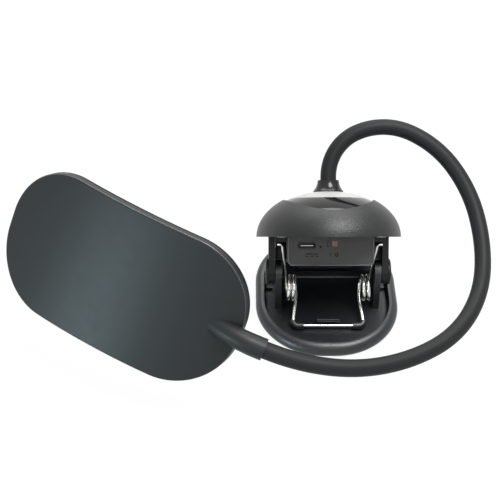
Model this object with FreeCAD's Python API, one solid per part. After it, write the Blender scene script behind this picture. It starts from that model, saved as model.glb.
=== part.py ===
import FreeCAD, Part
import math
import os

Vec = FreeCAD.Vector

# Lower jaw, standing on the table at height zero, mouth towards plus Y
JAW_HALF_WIDTH = 36.5
JAW_HALF_LENGTH = 42.0
JAW_CORNER_SHARE = 0.93
RIM_HEIGHT = 8.0
RIM_WIDTH = 4.5
FLOOR_TOP = 3.4
FOOT_STAND = 0.6
FOOT_THICKNESS = 1.4
FOOT_INSET = 7.5
BOTTOM_ROUND = 3.0
RIM_ROUND = 4.2
TRAY_ROUND = 1.5
DECK_MARGIN = 2.0

# Hinge between the jaws
HINGE_HEIGHT = 22.2
HINGE_BACK = 2.5
HINGE_DROP = 17.6
LUG_RADIUS = 6.2
LUG_FOOT_WIDTH = 17.0
LUG_TOP_WIDTH = 15.0
LUG_THICKNESS = 3.2
LOWER_LUG_INSIDE = 23.4
LUG_GAP = 0.3
PIN_RADIUS = 2.0
PIN_CLEARANCE = 0.05
PIN_HEAD_RADIUS = 6.6
PIN_HEAD_HEIGHT = 1.4
PIN_HEAD_ROUND = 0.8
NOSE_GAP = 0.5

# Pockets beside the lower lugs
POCKET_OUTSIDE = 31.4
POCKET_WIDTH = 3.8
POCKET_LENGTH = 6.6
POCKET_DEPTH = 1.4

# Upper jaw dome, measured from the middle of its rim
DOME_HALF_WIDTH = 36.3
DOME_HALF_LENGTH = 42.0
DOME_HEIGHT = 24.0
DOME_BACK = 3.0
SHELL_WALL = 3.6
PANEL_SINK = 1.0
PANEL_THICKNESS = 1.4
PANEL_HALF_WIDTH = 23.0
PANEL_HALF_LENGTH = 35.5
PANEL_LEDGE = 3.0
CAP_DROP = 4.8
SEAT_GAP = 0.1
FIT_GAP = 0.15

# Frame plate inside the dome
PLATE_LEVEL = 1.0
PLATE_THICKNESS = 2.0
PLATE_GAP = 0.3
FRAME_SCREW_SIDE = 24.0
FRAME_SCREW_ALONG = 21.0
FRAME_SCREW_BOSS = 3.2
FRAME_SCREW_HEAD = 2.4
FRAME_SCREW_HEAD_HEIGHT = 1.2
FRAME_SCREW_SHANK = 1.1
FRAME_SCREW_GRIP = 3.0

# Grip pads
PAD_HALF_WIDTH = 14.0
PAD_NOSE = 10.0
PAD_LENGTH = 18.0
PAD_BOX_GAP = 4.0
PAD_THICKNESS = 2.0
PAD_POCKET = 1.0
PAD_GROOVE = 1.2
PAD_GROOVE_DEPTH = 0.6
PAD_GROOVES = 5

# Electronics box under the dome
BOX_HALF_WIDTH = 21.0
BOX_BACK = 18.0
BOX_LENGTH = 28.0
BOX_DROP = 14.0
BOX_WALL = 1.6
BOX_CORNER = 2.5
BOARD_THICKNESS = 1.2
BOARD_GAP = 0.2
BOARD_RAIL = 2.2

# Charging port, charge light and slide switch in the back of the box
PORT_SIDE = 11.7
PORT_DROP = 4.3
PORT_WIDTH = 8.9
PORT_HEIGHT = 3.2
PORT_LENGTH = 7.4
PORT_WALL = 0.3
PORT_GAP = 0.2
PORT_SETBACK = 0.7
TONGUE_WIDTH = 6.6
TONGUE_THICKNESS = 0.7
TONGUE_LENGTH = 5.6
TONGUE_BASE = 1.2
LIGHT_SIDE = 5.1
LIGHT_DROP = 4.9
LIGHT_RADIUS = 0.6
LIGHT_GAP = 0.05
SWITCH_SIDE = 1.2
SWITCH_DROP = 3.5
SWITCH_WINDOW_WIDTH = 5.7
SWITCH_WINDOW_HEIGHT = 2.8
SWITCH_GAP = 0.3
SWITCH_BODY_WIDTH = 8.6
SWITCH_BODY_LENGTH = 4.6
SWITCH_GROOVE = 1.4
KNOB_WIDTH = 2.0
KNOB_PROUD = 0.7
KNOB_TAIL = 1.0

# Battery on top of the frame plate
BATTERY_HALF_WIDTH = 19.0
BATTERY_HALF_LENGTH = 16.0
BATTERY_HEIGHT = 8.5
BATTERY_CORNER = 2.0

# Neck collar and its nut
COLLAR_SINK = 0.8
COLLAR_BASE_RADIUS = 7.6
COLLAR_TOP_RADIUS = 5.4
COLLAR_FOOT = 0.9
COLLAR_HEIGHT = 6.3
COLLAR_WAIST_SHARE = 0.22
COLLAR_GAP = 0.05
ANCHOR_RADIUS = 7.0
ANCHOR_HEIGHT = 3.3
ANCHOR_GAP = 0.7

# Neck in equal bent lengths, with the angles of each in the loop's plane and across it
NECK_RADIUS = 4.0
NECK_LENGTH = 279.0
NECK_RISE = 2.0
NECK_JOINT_GAP = 0.25
NECK_TAIL = 9.0
NECK_BEND_ANGLES = (66, 48, 31, 23, 16, 22, 24, 15, 18, 16)
NECK_CROSS_ANGLES = (-3, 2, 6, 11, 15, 12, 8, 7, 6, 5)

# Lamp head: an arched plate whose near end lies ahead of the mouth of its socket
HEAD_LENGTH = 123.5
HEAD_WIDTH = 70.0
HEAD_CORNER_SHARE = 0.89
HEAD_ARCH = 9.3
HEAD_BACK_DEPTH = 3.6
HEAD_FRAME_DEPTH = 2.3
HEAD_WALL = 1.6
HEAD_BACK_ROUND = 1.0
HEAD_FRAME_ROUND = 0.9
HEAD_ROLL_ANGLE = -162
HEAD_PITCH_ANGLE = 12.7
SOCKET_REACH = 12.7
SOCKET_LENGTH = 28.0
SOCKET_RADIUS = 5.1
SOCKET_WAIST_RADIUS = 4.95
SOCKET_WAIST_SINK = 0.7
SOCKET_TIP_RADIUS = 4.2
SOCKET_TIP_SINK = 4.3
SOCKET_GAP = 0.1
NECK_ABOVE_BACK = 2.8
WINDOW_INSET = 5.5
DIFFUSER_INSET = 2.6
DIFFUSER_THICKNESS = 1.2
DIFFUSER_GAP = 0.15
LED_BOARD_INSET = 4.5
LED_BOARD_THICKNESS = 0.8
BOARD_SEAT_GAP = 0.02
LED_SIZE = 3.0
LED_HEIGHT = 0.6
LED_SOLDER_GAP = 0.05
LED_COLUMNS = 9
LED_ROWS = 4
LED_FIELD_SHARE = 0.7
BOARD_SCREW_HEAD = 1.7
BOARD_SCREW_HEAD_HEIGHT = 0.7
BOARD_SCREW_SHANK = 0.8
BOARD_SCREW_BITE = 1.0
BOARD_SCREW_GAP = 0.05
BOARD_SCREW_MARGIN = 1.0
BOARD_SCREW_SHARE = 0.8
CONNECTOR_LENGTH = 4.0
CONNECTOR_WIDTH = 6.0
CONNECTOR_HEIGHT = 0.9

# Torsion spring of one wire: hook, coil, leg, cross bar, leg, coil, hook
WIRE_RADIUS = 0.8
COIL_RADIUS = 5.45
COIL_OUTSIDE = 21.1
COIL_INSIDE = 16.5
COIL_BACK = 9.4
COIL_LEVEL = 17.4
COIL_TURNS = 2
LEG_SPREAD = 17.9
LEG_BEND = 2.4
BAR_BACK = 24.1
HOOK_SIDE = 23.5
HOOK_DROP = 3.7
HOOK_BACK = 11.0
HOOK_BEND = 1.7
HOOK_TIP = 0.9
SLEEVE_RADIUS = 1.75
SLEEVE_END = 12.4
SLEEVE_GAP = 0.05
SLEEVE_LIFT = 0.05
LEDGE_INSIDE = 21.3
LEDGE_WIDTH = 5.8
LEDGE_LENGTH = 6.0
LEDGE_GAP = 0.3

# Stop for the spring's cross bar on the tray floor
STOP_WIDTH = 11.0
STOP_THICKNESS = 1.6
STOP_POST = 1.8
STOP_LINTEL = 1.3
STOP_HEIGHT = 3.6
STOP_GAP = 0.5

# Every cut runs past the faces it opens by this much
OVERRUN = 1.0


def rounded_outline(half_x, half_y, radius):
    """Closed wire of a rectangle with round corners, in the plane at height zero."""
    straight_x = half_x - radius
    straight_y = half_y - radius
    diagonal = radius * math.sqrt(0.5)
    edges = []
    for sign_x, sign_y in ((1, 1), (-1, 1), (-1, -1), (1, -1)):
        centre = Vec(sign_x * straight_x, sign_y * straight_y, 0)
        on_side = centre + Vec(sign_x * radius, 0, 0)
        on_corner = centre + Vec(sign_x * diagonal, sign_y * diagonal, 0)
        on_end = centre + Vec(0, sign_y * radius, 0)
        if sign_x * sign_y > 0:
            edges.append((on_side, on_corner, on_end))
        else:
            edges.append((on_end, on_corner, on_side))
    parts = []
    for index, (start, middle, end) in enumerate(edges):
        parts.append(Part.Arc(start, middle, end).toShape())
        parts.append(Part.makeLine(end, edges[(index + 1) % len(edges)][0]))
    return Part.Wire(parts)


def slab(half_x, half_y, radius, low, high):
    """Plate with round corners between two heights."""
    face = Part.Face(rounded_outline(half_x, half_y, radius))
    face.translate(Vec(0, 0, low))
    return face.extrude(Vec(0, 0, high - low))


def block(low, high):
    """Box between two corners."""
    size = high - low
    return Part.makeBox(size.x, size.y, size.z, low)


def rod(radius, start, end):
    """Round bar from one point to another."""
    along = end - start
    return Part.makeCylinder(radius, along.Length, start, along)


def edges_at(shape, height):
    """Edges that lie wholly at one height."""
    reach = shape.BoundBox.ZLength * 1e-6
    found = []
    for edge in shape.Edges:
        box = edge.BoundBox
        if abs(box.ZMin - height) < reach and abs(box.ZMax - height) < reach:
            found.append(edge)
    return found


def joined(pieces):
    """One solid from touching or crossing pieces."""
    whole = pieces[0].fuse(pieces[1:])
    return whole.removeSplitter()


def both_sides(make):
    """A piece built for the right side, with its mirror image on the left."""
    right = make()
    left = right.mirror(Vec(0, 0, 0), Vec(1, 0, 0))
    return right, left


# Places that several pieces share
HINGE = Vec(0, -HINGE_BACK, HINGE_HEIGHT)
UPPER_LUG_INSIDE = LOWER_LUG_INSIDE + LUG_THICKNESS + LUG_GAP
UPPER_LUG_OUTSIDE = UPPER_LUG_INSIDE + LUG_THICKNESS
nose_reach = DOME_HALF_LENGTH - DOME_BACK
nose_radius = math.hypot(nose_reach, HINGE_DROP)
nose_fall = HINGE_HEIGHT - RIM_HEIGHT - NOSE_GAP
JAW_ANGLE = math.degrees(math.atan2(HINGE_DROP, nose_reach) + math.asin(nose_fall / nose_radius))
UPPER_TURN = FreeCAD.Rotation(Vec(1, 0, 0), -JAW_ANGLE)
UPPER = FreeCAD.Placement(HINGE - UPPER_TURN.multVec(Vec(0, DOME_BACK, -HINGE_DROP)), UPPER_TURN)
HINGE_ON_UPPER = Vec(0, DOME_BACK, -HINGE_DROP)
CAP_LEVEL = DOME_HEIGHT - CAP_DROP
COLLAR_SEAT = DOME_HEIGHT - PANEL_SINK - COLLAR_SINK
COLLAR_TOP = COLLAR_SEAT + COLLAR_HEIGHT
NECK_START = COLLAR_TOP + NECK_RISE
ANCHOR_TOP = DOME_HEIGHT - PANEL_SINK - PANEL_THICKNESS - ANCHOR_GAP
ANCHOR_BOTTOM = ANCHOR_TOP - ANCHOR_HEIGHT
PLATE_TOP = PLATE_LEVEL + PLATE_THICKNESS
BOARD_TOP = -PORT_DROP - PORT_HEIGHT / 2
BOX_INSIDE_BACK = -BOX_BACK + BOX_WALL
BAR_LEVEL = FLOOR_TOP + SLEEVE_RADIUS + SLEEVE_LIFT
NECK_STEP = NECK_LENGTH / len(NECK_BEND_ANGLES)
ARC_RADIUS = ((HEAD_LENGTH / 2) ** 2 + HEAD_ARCH ** 2) / (2 * HEAD_ARCH)
PLATE_TURN = FreeCAD.Rotation(Vec(0, 1, 0), HEAD_PITCH_ANGLE)
PLATE = FreeCAD.Placement(Vec(SOCKET_REACH, 0, -NECK_ABOVE_BACK), PLATE_TURN)
LOWER_PAD_START = JAW_HALF_LENGTH - PAD_NOSE - PAD_LENGTH
UPPER_PAD_START = BOX_LENGTH - BOX_BACK + PAD_BOX_GAP
UPPER_PAD_LENGTH = DOME_HALF_LENGTH - PAD_NOSE - UPPER_PAD_START


def lug(thickness_from, thickness_to, hinge, foot_level, foot_width):
    """Hinge ear: a tapered cheek that ends round about the hinge line."""
    foot = foot_width / 2
    corners = (
        Vec(thickness_from, hinge.y - foot, foot_level),
        Vec(thickness_from, hinge.y + foot, foot_level),
        Vec(thickness_from, hinge.y + LUG_RADIUS, hinge.z),
        Vec(thickness_from, hinge.y - LUG_RADIUS, hinge.z),
    )
    width = Vec(thickness_to - thickness_from, 0, 0)
    cheek = Part.Face(Part.makePolygon(list(corners) + [corners[0]])).extrude(width)
    eye = Part.makeCylinder(LUG_RADIUS, width.x, Vec(thickness_from, hinge.y, hinge.z), Vec(1, 0, 0))
    return cheek.fuse(eye)


def hinge_bore(hinge, radius):
    """Bar along the hinge line, right through both pairs of lugs."""
    reach = UPPER_LUG_OUTSIDE + OVERRUN
    return rod(radius, Vec(-reach, hinge.y, hinge.z), Vec(reach, hinge.y, hinge.z))


def lower_jaw_shell():
    """Shallow tray with a round rim, a solid nose, two lugs and a stop for the spring's bar."""
    corner = JAW_HALF_WIDTH * JAW_CORNER_SHARE
    body = slab(JAW_HALF_WIDTH, JAW_HALF_LENGTH, corner, FOOT_STAND, RIM_HEIGHT)
    body = body.makeFillet(BOTTOM_ROUND, edges_at(body, FOOT_STAND))
    body = body.makeFillet(RIM_ROUND, edges_at(body, RIM_HEIGHT))
    tray = slab(
        JAW_HALF_WIDTH - RIM_WIDTH,
        JAW_HALF_LENGTH - RIM_WIDTH,
        corner - RIM_WIDTH,
        FLOOR_TOP,
        RIM_HEIGHT + OVERRUN,
    )
    nose = block(
        Vec(-JAW_HALF_WIDTH, LOWER_PAD_START - DECK_MARGIN, 0),
        Vec(JAW_HALF_WIDTH, JAW_HALF_LENGTH, RIM_HEIGHT + OVERRUN + OVERRUN),
    )
    tray = tray.cut(nose)
    tray = tray.makeFillet(TRAY_ROUND, edges_at(tray, FLOOR_TOP))
    body = body.cut(tray)
    foot_hole = slab(
        JAW_HALF_WIDTH - FOOT_INSET,
        JAW_HALF_LENGTH - FOOT_INSET,
        corner - FOOT_INSET,
        FOOT_STAND - OVERRUN,
        FOOT_THICKNESS,
    )
    body = body.cut(foot_hole)
    body = body.cut(grip_pad_outline(LOWER_PAD_START, PAD_LENGTH, RIM_HEIGHT - PAD_POCKET, RIM_HEIGHT + OVERRUN, 0))
    sunk = (FLOOR_TOP - FOOT_THICKNESS) / 2

    def right_lug():
        return lug(
            LOWER_LUG_INSIDE,
            LOWER_LUG_INSIDE + LUG_THICKNESS,
            HINGE,
            FLOOR_TOP - sunk,
            LUG_FOOT_WIDTH,
        )

    def right_pocket():
        return block(
            Vec(POCKET_OUTSIDE - POCKET_WIDTH, HINGE.y, FLOOR_TOP - POCKET_DEPTH),
            Vec(POCKET_OUTSIDE, HINGE.y + POCKET_LENGTH, FLOOR_TOP + OVERRUN),
        )

    body = body.cut(list(both_sides(right_pocket)))
    body = joined([body] + list(both_sides(right_lug)) + bar_stop(FLOOR_TOP - sunk))
    return body.cut(hinge_bore(HINGE, PIN_RADIUS + PIN_CLEARANCE))


def bar_stop(root):
    """Two posts and a lintel that keep the spring's bar from creeping forward."""
    near = -BAR_BACK + SLEEVE_RADIUS + STOP_GAP
    far = near + STOP_THICKNESS
    half = STOP_WIDTH / 2
    top = FLOOR_TOP + STOP_HEIGHT
    lintel = block(Vec(-half, near, top - STOP_LINTEL), Vec(half, far, top))
    inner = half / 2 - STOP_POST / 2
    outer = half / 2 + STOP_POST / 2
    right = block(Vec(inner, near, root), Vec(outer, far, top - STOP_LINTEL))
    left = block(Vec(-outer, near, root), Vec(-inner, far, top - STOP_LINTEL))
    return [lintel, right, left]


def foot_pad():
    """Soft pad let into the underside, which the lamp stands on."""
    inset = FOOT_INSET + FIT_GAP
    corner = JAW_HALF_WIDTH * JAW_CORNER_SHARE - inset
    return slab(JAW_HALF_WIDTH - inset, JAW_HALF_LENGTH - inset, corner, 0, FOOT_THICKNESS)


def grip_pad_outline(start, length, low, high, gap):
    """Block that a grip pad fills, forward of the hinge."""
    return block(
        Vec(-PAD_HALF_WIDTH + gap, start + gap, low),
        Vec(PAD_HALF_WIDTH - gap, start + length - gap, high),
    )


def grip_pad(start, length, low, high, groove_low, groove_high):
    """Soft jaw pad with grooves across it."""
    pad = grip_pad_outline(start, length, low, high, FIT_GAP)
    pitch = length / (PAD_GROOVES + 1)
    grooves = []
    for index in range(PAD_GROOVES):
        middle = start + pitch * (index + 1)
        grooves.append(
            block(
                Vec(-PAD_HALF_WIDTH - OVERRUN, middle - PAD_GROOVE / 2, groove_low),
                Vec(PAD_HALF_WIDTH + OVERRUN, middle + PAD_GROOVE / 2, groove_high),
            )
        )
    return pad.cut(grooves)


def lower_grip_pad():
    """Pad in the pocket on the lower nose."""
    low = RIM_HEIGHT - PAD_POCKET
    top = low + PAD_THICKNESS
    return grip_pad(LOWER_PAD_START, PAD_LENGTH, low, top, top - PAD_GROOVE_DEPTH, top + OVERRUN)


def upper_grip_pad():
    """Pad under the front of the frame plate."""
    low = PLATE_LEVEL - PAD_THICKNESS
    return grip_pad(UPPER_PAD_START, UPPER_PAD_LENGTH, low, PLATE_LEVEL, low - OVERRUN, low + PAD_GROOVE_DEPTH)


def ellipsoid(inset):
    """The dome's surface, moved inwards by an inset, as a whole egg."""
    half_width = DOME_HALF_WIDTH - inset
    stretch = FreeCAD.Matrix()
    stretch.A22 = (DOME_HALF_LENGTH - inset) / half_width
    stretch.A33 = (DOME_HEIGHT - inset) / half_width
    return Part.makeSphere(half_width).transformGeometry(stretch)


def above(level):
    """Everything of the dome that lies above a level."""
    return block(
        Vec(-DOME_HALF_WIDTH - OVERRUN, -DOME_HALF_LENGTH - OVERRUN, level),
        Vec(DOME_HALF_WIDTH + OVERRUN, DOME_HALF_LENGTH + OVERRUN, DOME_HEIGHT + OVERRUN),
    )


def oval_post(half_width, half_length, low, high):
    """Upright post with an oval outline."""
    ends = [Vec(0, half_length, low), Vec(half_width, 0, low)]
    ends.sort(key=lambda end: end.distanceToPoint(Vec(0, 0, low)), reverse=True)
    curve = Part.Ellipse(ends[0], ends[1], Vec(0, 0, low))
    return Part.Face(Part.Wire(curve.toShape())).extrude(Vec(0, 0, high - low))


def frame_screw_places():
    """The four screws that hold the frame plate up into the dome."""
    places = []
    for side in (-1, 1):
        for along in (-1, 1):
            places.append(Vec(side * FRAME_SCREW_SIDE, along * FRAME_SCREW_ALONG, 0))
    return places


def upper_jaw_shell():
    """Dome with a sunk oval seat for the panel, and four screw bosses inside."""
    dome = ellipsoid(0).common(above(0))
    inside = ellipsoid(SHELL_WALL)
    shell = dome.cut(inside)
    seat_floor = ellipsoid(PANEL_SINK + PANEL_THICKNESS + SEAT_GAP)
    high = DOME_HEIGHT + OVERRUN
    seat = oval_post(PANEL_HALF_WIDTH, PANEL_HALF_LENGTH, 0, high).cut(seat_floor)
    hole = oval_post(PANEL_HALF_WIDTH - PANEL_LEDGE, PANEL_HALF_LENGTH - PANEL_LEDGE, 0, high)
    shell = shell.cut(seat).cut(hole)
    core = ellipsoid(SHELL_WALL / 2)
    bosses = []
    for place in frame_screw_places():
        post = rod(FRAME_SCREW_BOSS, place + Vec(0, 0, PLATE_TOP), place + Vec(0, 0, DOME_HEIGHT))
        bosses.append(post.common(core).cut(hole))
    shell = joined([shell] + bosses)
    depth = PLATE_TOP + FRAME_SCREW_GRIP
    for place in frame_screw_places():
        shank = rod(
            FRAME_SCREW_SHANK + COLLAR_GAP,
            place + Vec(0, 0, PLATE_TOP - OVERRUN),
            place + Vec(0, 0, depth + COLLAR_GAP),
        )
        shell = shell.cut(shank)
    return shell


def panel_skin():
    """Curved plate from which the panel and the cap are both cut."""
    return ellipsoid(PANEL_SINK).cut(ellipsoid(PANEL_SINK + PANEL_THICKNESS))


def top_panel():
    """Glossy panel: the part of the curved plate below the cap, inside the seat."""
    post = oval_post(PANEL_HALF_WIDTH - FIT_GAP, PANEL_HALF_LENGTH - FIT_GAP, 0, CAP_LEVEL)
    return panel_skin().common(post)


def top_cap():
    """White cap: the top of the curved plate, with a flat seat and a bore for the collar."""
    cap = panel_skin().common(above(CAP_LEVEL))
    seat = rod(
        COLLAR_BASE_RADIUS + FIT_GAP, Vec(0, 0, COLLAR_SEAT), Vec(0, 0, DOME_HEIGHT + OVERRUN)
    )
    bore = rod(NECK_RADIUS + FIT_GAP, Vec(0, 0, 0), Vec(0, 0, DOME_HEIGHT + OVERRUN))
    return cap.cut(seat).cut(bore)


def plate_half(half, level):
    """Half width of the dome's inside at a level, less the plate's gap."""
    height = DOME_HEIGHT - SHELL_WALL
    return (half - SHELL_WALL) * math.sqrt(1 - (level / height) ** 2) - PLATE_GAP


def upper_frame():
    """Plate across the dome with the two upper lugs and the ledges for the spring's hooks."""
    half_width = plate_half(DOME_HALF_WIDTH, PLATE_TOP)
    half_length = plate_half(DOME_HALF_LENGTH, PLATE_TOP)
    plate = oval_post(half_width, half_length, PLATE_LEVEL, PLATE_TOP)
    root = PLATE_LEVEL + PLATE_THICKNESS / 2

    def right_lug():
        return lug(UPPER_LUG_INSIDE, UPPER_LUG_OUTSIDE, HINGE_ON_UPPER, root, LUG_TOP_WIDTH)

    def right_ledge():
        half = LEDGE_LENGTH / 2
        low = -HOOK_DROP + WIRE_RADIUS + LEDGE_GAP
        return block(
            Vec(LEDGE_INSIDE, -HOOK_BACK - half, low),
            Vec(LEDGE_INSIDE + LEDGE_WIDTH, -HOOK_BACK + half, root),
        )

    frame = joined([plate] + list(both_sides(right_lug)) + list(both_sides(right_ledge)))
    frame = frame.cut(hinge_bore(HINGE_ON_UPPER, PIN_RADIUS + PIN_CLEARANCE))
    for place in frame_screw_places():
        hole = rod(
            FRAME_SCREW_SHANK + COLLAR_GAP,
            place + Vec(0, 0, PLATE_LEVEL - OVERRUN),
            place + Vec(0, 0, PLATE_TOP + OVERRUN),
        )
        frame = frame.cut(hole)
    return frame


def frame_screws():
    """Four screws, head below the plate and shank up into the dome's bosses."""
    screws = []
    for place in frame_screw_places():
        under = place + Vec(0, 0, PLATE_LEVEL)
        head = rod(FRAME_SCREW_HEAD, under - Vec(0, 0, FRAME_SCREW_HEAD_HEIGHT), under)
        shank = rod(FRAME_SCREW_SHANK, under, place + Vec(0, 0, PLATE_TOP + FRAME_SCREW_GRIP))
        screws.append(head.fuse(shank).removeSplitter())
    return Part.makeCompound(screws)


def hinge_pins():
    """Two pins with flat round heads outside the upper lugs."""

    def right_pin():
        inner = Vec(LOWER_LUG_INSIDE, HINGE_ON_UPPER.y, HINGE_ON_UPPER.z)
        shoulder = Vec(UPPER_LUG_OUTSIDE, HINGE_ON_UPPER.y, HINGE_ON_UPPER.z)
        head = rod(PIN_HEAD_RADIUS, shoulder, shoulder + Vec(PIN_HEAD_HEIGHT, 0, 0))
        outer = []
        for edge in head.Edges:
            box = edge.BoundBox
            if box.XLength < FIT_GAP and box.XMin > UPPER_LUG_OUTSIDE + FIT_GAP:
                outer.append(edge)
        head = head.makeFillet(PIN_HEAD_ROUND, outer)
        return head.fuse(rod(PIN_RADIUS, inner, shoulder)).removeSplitter()

    return Part.makeCompound(list(both_sides(right_pin)))


def back_window(side, drop, width, height):
    """Square hole through the back wall of the box."""
    return block(
        Vec(side - width / 2, -BOX_BACK - OVERRUN, -drop - height / 2),
        Vec(side + width / 2, BOX_INSIDE_BACK + OVERRUN, -drop + height / 2),
    )


def port_body(grow, back, front):
    """Oblong bar with half-round ends along Y, as the charging port is shaped."""
    half_height = PORT_HEIGHT / 2 + grow
    half_width = PORT_WIDTH / 2 + grow
    bar = slab(half_width, half_height, half_height * 0.98, 0, front - back)
    bar.rotate(Vec(0, 0, 0), Vec(1, 0, 0), -90)
    bar.translate(Vec(-PORT_SIDE, back, -PORT_DROP))
    return bar


def electronics_box():
    """Open-topped box that hangs under the plate, with its sockets in the back wall."""
    low = Vec(-BOX_HALF_WIDTH, -BOX_BACK, -BOX_DROP)
    high = Vec(BOX_HALF_WIDTH, BOX_LENGTH - BOX_BACK, PLATE_LEVEL)
    box = block(low, high)
    long_edges = []
    for edge in edges_at(box, -BOX_DROP):
        if edge.BoundBox.YLength > BOX_LENGTH / 2:
            long_edges.append(edge)
    box = box.makeFillet(BOX_CORNER, long_edges)
    wall = Vec(BOX_WALL, BOX_WALL, BOX_WALL)
    room = block(low + wall, high - wall + Vec(0, 0, BOX_WALL + OVERRUN))
    box = box.cut(room)

    def right_rail():
        return block(
            Vec(BOX_HALF_WIDTH - BOX_WALL - BOARD_RAIL, BOX_INSIDE_BACK, -BOX_DROP + BOX_WALL),
            Vec(
                BOX_HALF_WIDTH - BOX_WALL,
                BOX_LENGTH - BOX_BACK - BOX_WALL,
                BOARD_TOP - BOARD_THICKNESS,
            ),
        )

    box = joined([box] + list(both_sides(right_rail)))
    port_hole = port_body(PORT_GAP, -BOX_BACK - OVERRUN, BOX_INSIDE_BACK + OVERRUN)
    light_hole = rod(
        LIGHT_RADIUS + LIGHT_GAP,
        Vec(-LIGHT_SIDE, -BOX_BACK - OVERRUN, -LIGHT_DROP),
        Vec(-LIGHT_SIDE, BOX_INSIDE_BACK + OVERRUN, -LIGHT_DROP),
    )
    window = back_window(SWITCH_SIDE, SWITCH_DROP, SWITCH_WINDOW_WIDTH, SWITCH_WINDOW_HEIGHT)
    return box.cut(port_hole).cut(light_hole).cut(window)


def main_board():
    """Circuit board on the rails of the box."""
    half = BOX_HALF_WIDTH - BOX_WALL - BOARD_GAP
    return block(
        Vec(-half, BOX_INSIDE_BACK + BOARD_GAP, BOARD_TOP - BOARD_THICKNESS),
        Vec(half, BOX_LENGTH - BOX_BACK - BOX_WALL - BOARD_GAP, BOARD_TOP),
    )


def usb_port():
    """Metal shell of the charging port, set back a little from the wall."""
    back = -BOX_BACK + PORT_SETBACK
    outside = port_body(0, back, back + PORT_LENGTH)
    inside = port_body(-PORT_WALL, back - OVERRUN, back + PORT_LENGTH - TONGUE_BASE)
    return outside.cut(inside)


def usb_tongue():
    """Contact tongue in the middle of the port, on a base that fills the port's end."""
    front = -BOX_BACK + PORT_SETBACK + PORT_LENGTH - TONGUE_BASE
    return block(
        Vec(-PORT_SIDE - TONGUE_WIDTH / 2, front - TONGUE_LENGTH, -PORT_DROP - TONGUE_THICKNESS / 2),
        Vec(-PORT_SIDE + TONGUE_WIDTH / 2, front, -PORT_DROP + TONGUE_THICKNESS / 2),
    )


def charge_light():
    """Short clear rod in the wall that shows the charge light."""
    return rod(
        LIGHT_RADIUS,
        Vec(-LIGHT_SIDE, -BOX_BACK, -LIGHT_DROP),
        Vec(-LIGHT_SIDE, BOX_INSIDE_BACK, -LIGHT_DROP),
    )


def switch_body():
    """Switch case on the board, with a groove that the knob's tail slides in."""
    front = BOX_INSIDE_BACK + BOARD_GAP
    top = -SWITCH_DROP + SWITCH_WINDOW_HEIGHT / 2
    body = block(
        Vec(SWITCH_SIDE - SWITCH_BODY_WIDTH / 2, front, BOARD_TOP),
        Vec(SWITCH_SIDE + SWITCH_BODY_WIDTH / 2, front + SWITCH_BODY_LENGTH, top + SWITCH_GAP),
    )
    half = SWITCH_WINDOW_HEIGHT / 2
    groove = block(
        Vec(SWITCH_SIDE - SWITCH_WINDOW_WIDTH / 2, front - OVERRUN, -SWITCH_DROP - half),
        Vec(SWITCH_SIDE + SWITCH_WINDOW_WIDTH / 2, front + SWITCH_GROOVE, -SWITCH_DROP + half),
    )
    return body.cut(groove)


def switch_knob():
    """Slide knob at the left end of its window."""
    left = SWITCH_SIDE - SWITCH_WINDOW_WIDTH / 2 + SWITCH_GAP
    half = SWITCH_WINDOW_HEIGHT / 2 - SWITCH_GAP
    return block(
        Vec(left, -BOX_BACK - KNOB_PROUD, -SWITCH_DROP - half),
        Vec(left + KNOB_WIDTH, BOX_INSIDE_BACK + BOARD_GAP + KNOB_TAIL, -SWITCH_DROP + half),
    )


def battery_cell():
    """Flat cell on top of the frame plate."""
    return slab(
        BATTERY_HALF_WIDTH, BATTERY_HALF_LENGTH, BATTERY_CORNER, PLATE_TOP, PLATE_TOP + BATTERY_HEIGHT
    )


def neck_collar():
    """Flared collar round the foot of the neck."""
    bore = NECK_RADIUS + COLLAR_GAP
    shoulder = COLLAR_SEAT + COLLAR_FOOT
    waist = COLLAR_TOP_RADIUS + (COLLAR_BASE_RADIUS - COLLAR_TOP_RADIUS) * COLLAR_WAIST_SHARE
    start = Vec(COLLAR_BASE_RADIUS, 0, shoulder)
    end = Vec(COLLAR_TOP_RADIUS, 0, COLLAR_TOP)
    middle = Vec(waist, 0, (shoulder + COLLAR_TOP) / 2)
    outline = [
        Part.makeLine(Vec(bore, 0, COLLAR_SEAT), Vec(COLLAR_BASE_RADIUS, 0, COLLAR_SEAT)),
        Part.makeLine(Vec(COLLAR_BASE_RADIUS, 0, COLLAR_SEAT), start),
        Part.Arc(start, middle, end).toShape(),
        Part.makeLine(end, Vec(bore, 0, COLLAR_TOP)),
        Part.makeLine(Vec(bore, 0, COLLAR_TOP), Vec(bore, 0, COLLAR_SEAT)),
    ]
    return Part.Face(Part.Wire(outline)).revolve(Vec(0, 0, 0), Vec(0, 0, 1), 360)


def neck_anchor():
    """Nut under the cap that holds the neck's foot."""
    ring = rod(ANCHOR_RADIUS, Vec(0, 0, ANCHOR_BOTTOM), Vec(0, 0, ANCHOR_TOP))
    bore = rod(
        NECK_RADIUS + COLLAR_GAP,
        Vec(0, 0, ANCHOR_BOTTOM - OVERRUN),
        Vec(0, 0, ANCHOR_TOP + OVERRUN),
    )
    return ring.cut(bore)


def dome_end(place, direction):
    """Half ball that ends one length of neck."""
    return Part.makeSphere(NECK_RADIUS, place, direction, 0, 90, 360)


def neck_stub():
    """Fixed foot of the neck, from the nut up through the collar, with a round end."""
    top = Vec(0, 0, NECK_START)
    stub = rod(NECK_RADIUS, Vec(0, 0, ANCHOR_BOTTOM), top)
    return joined([stub, dome_end(top, Vec(0, 0, 1))])


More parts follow.
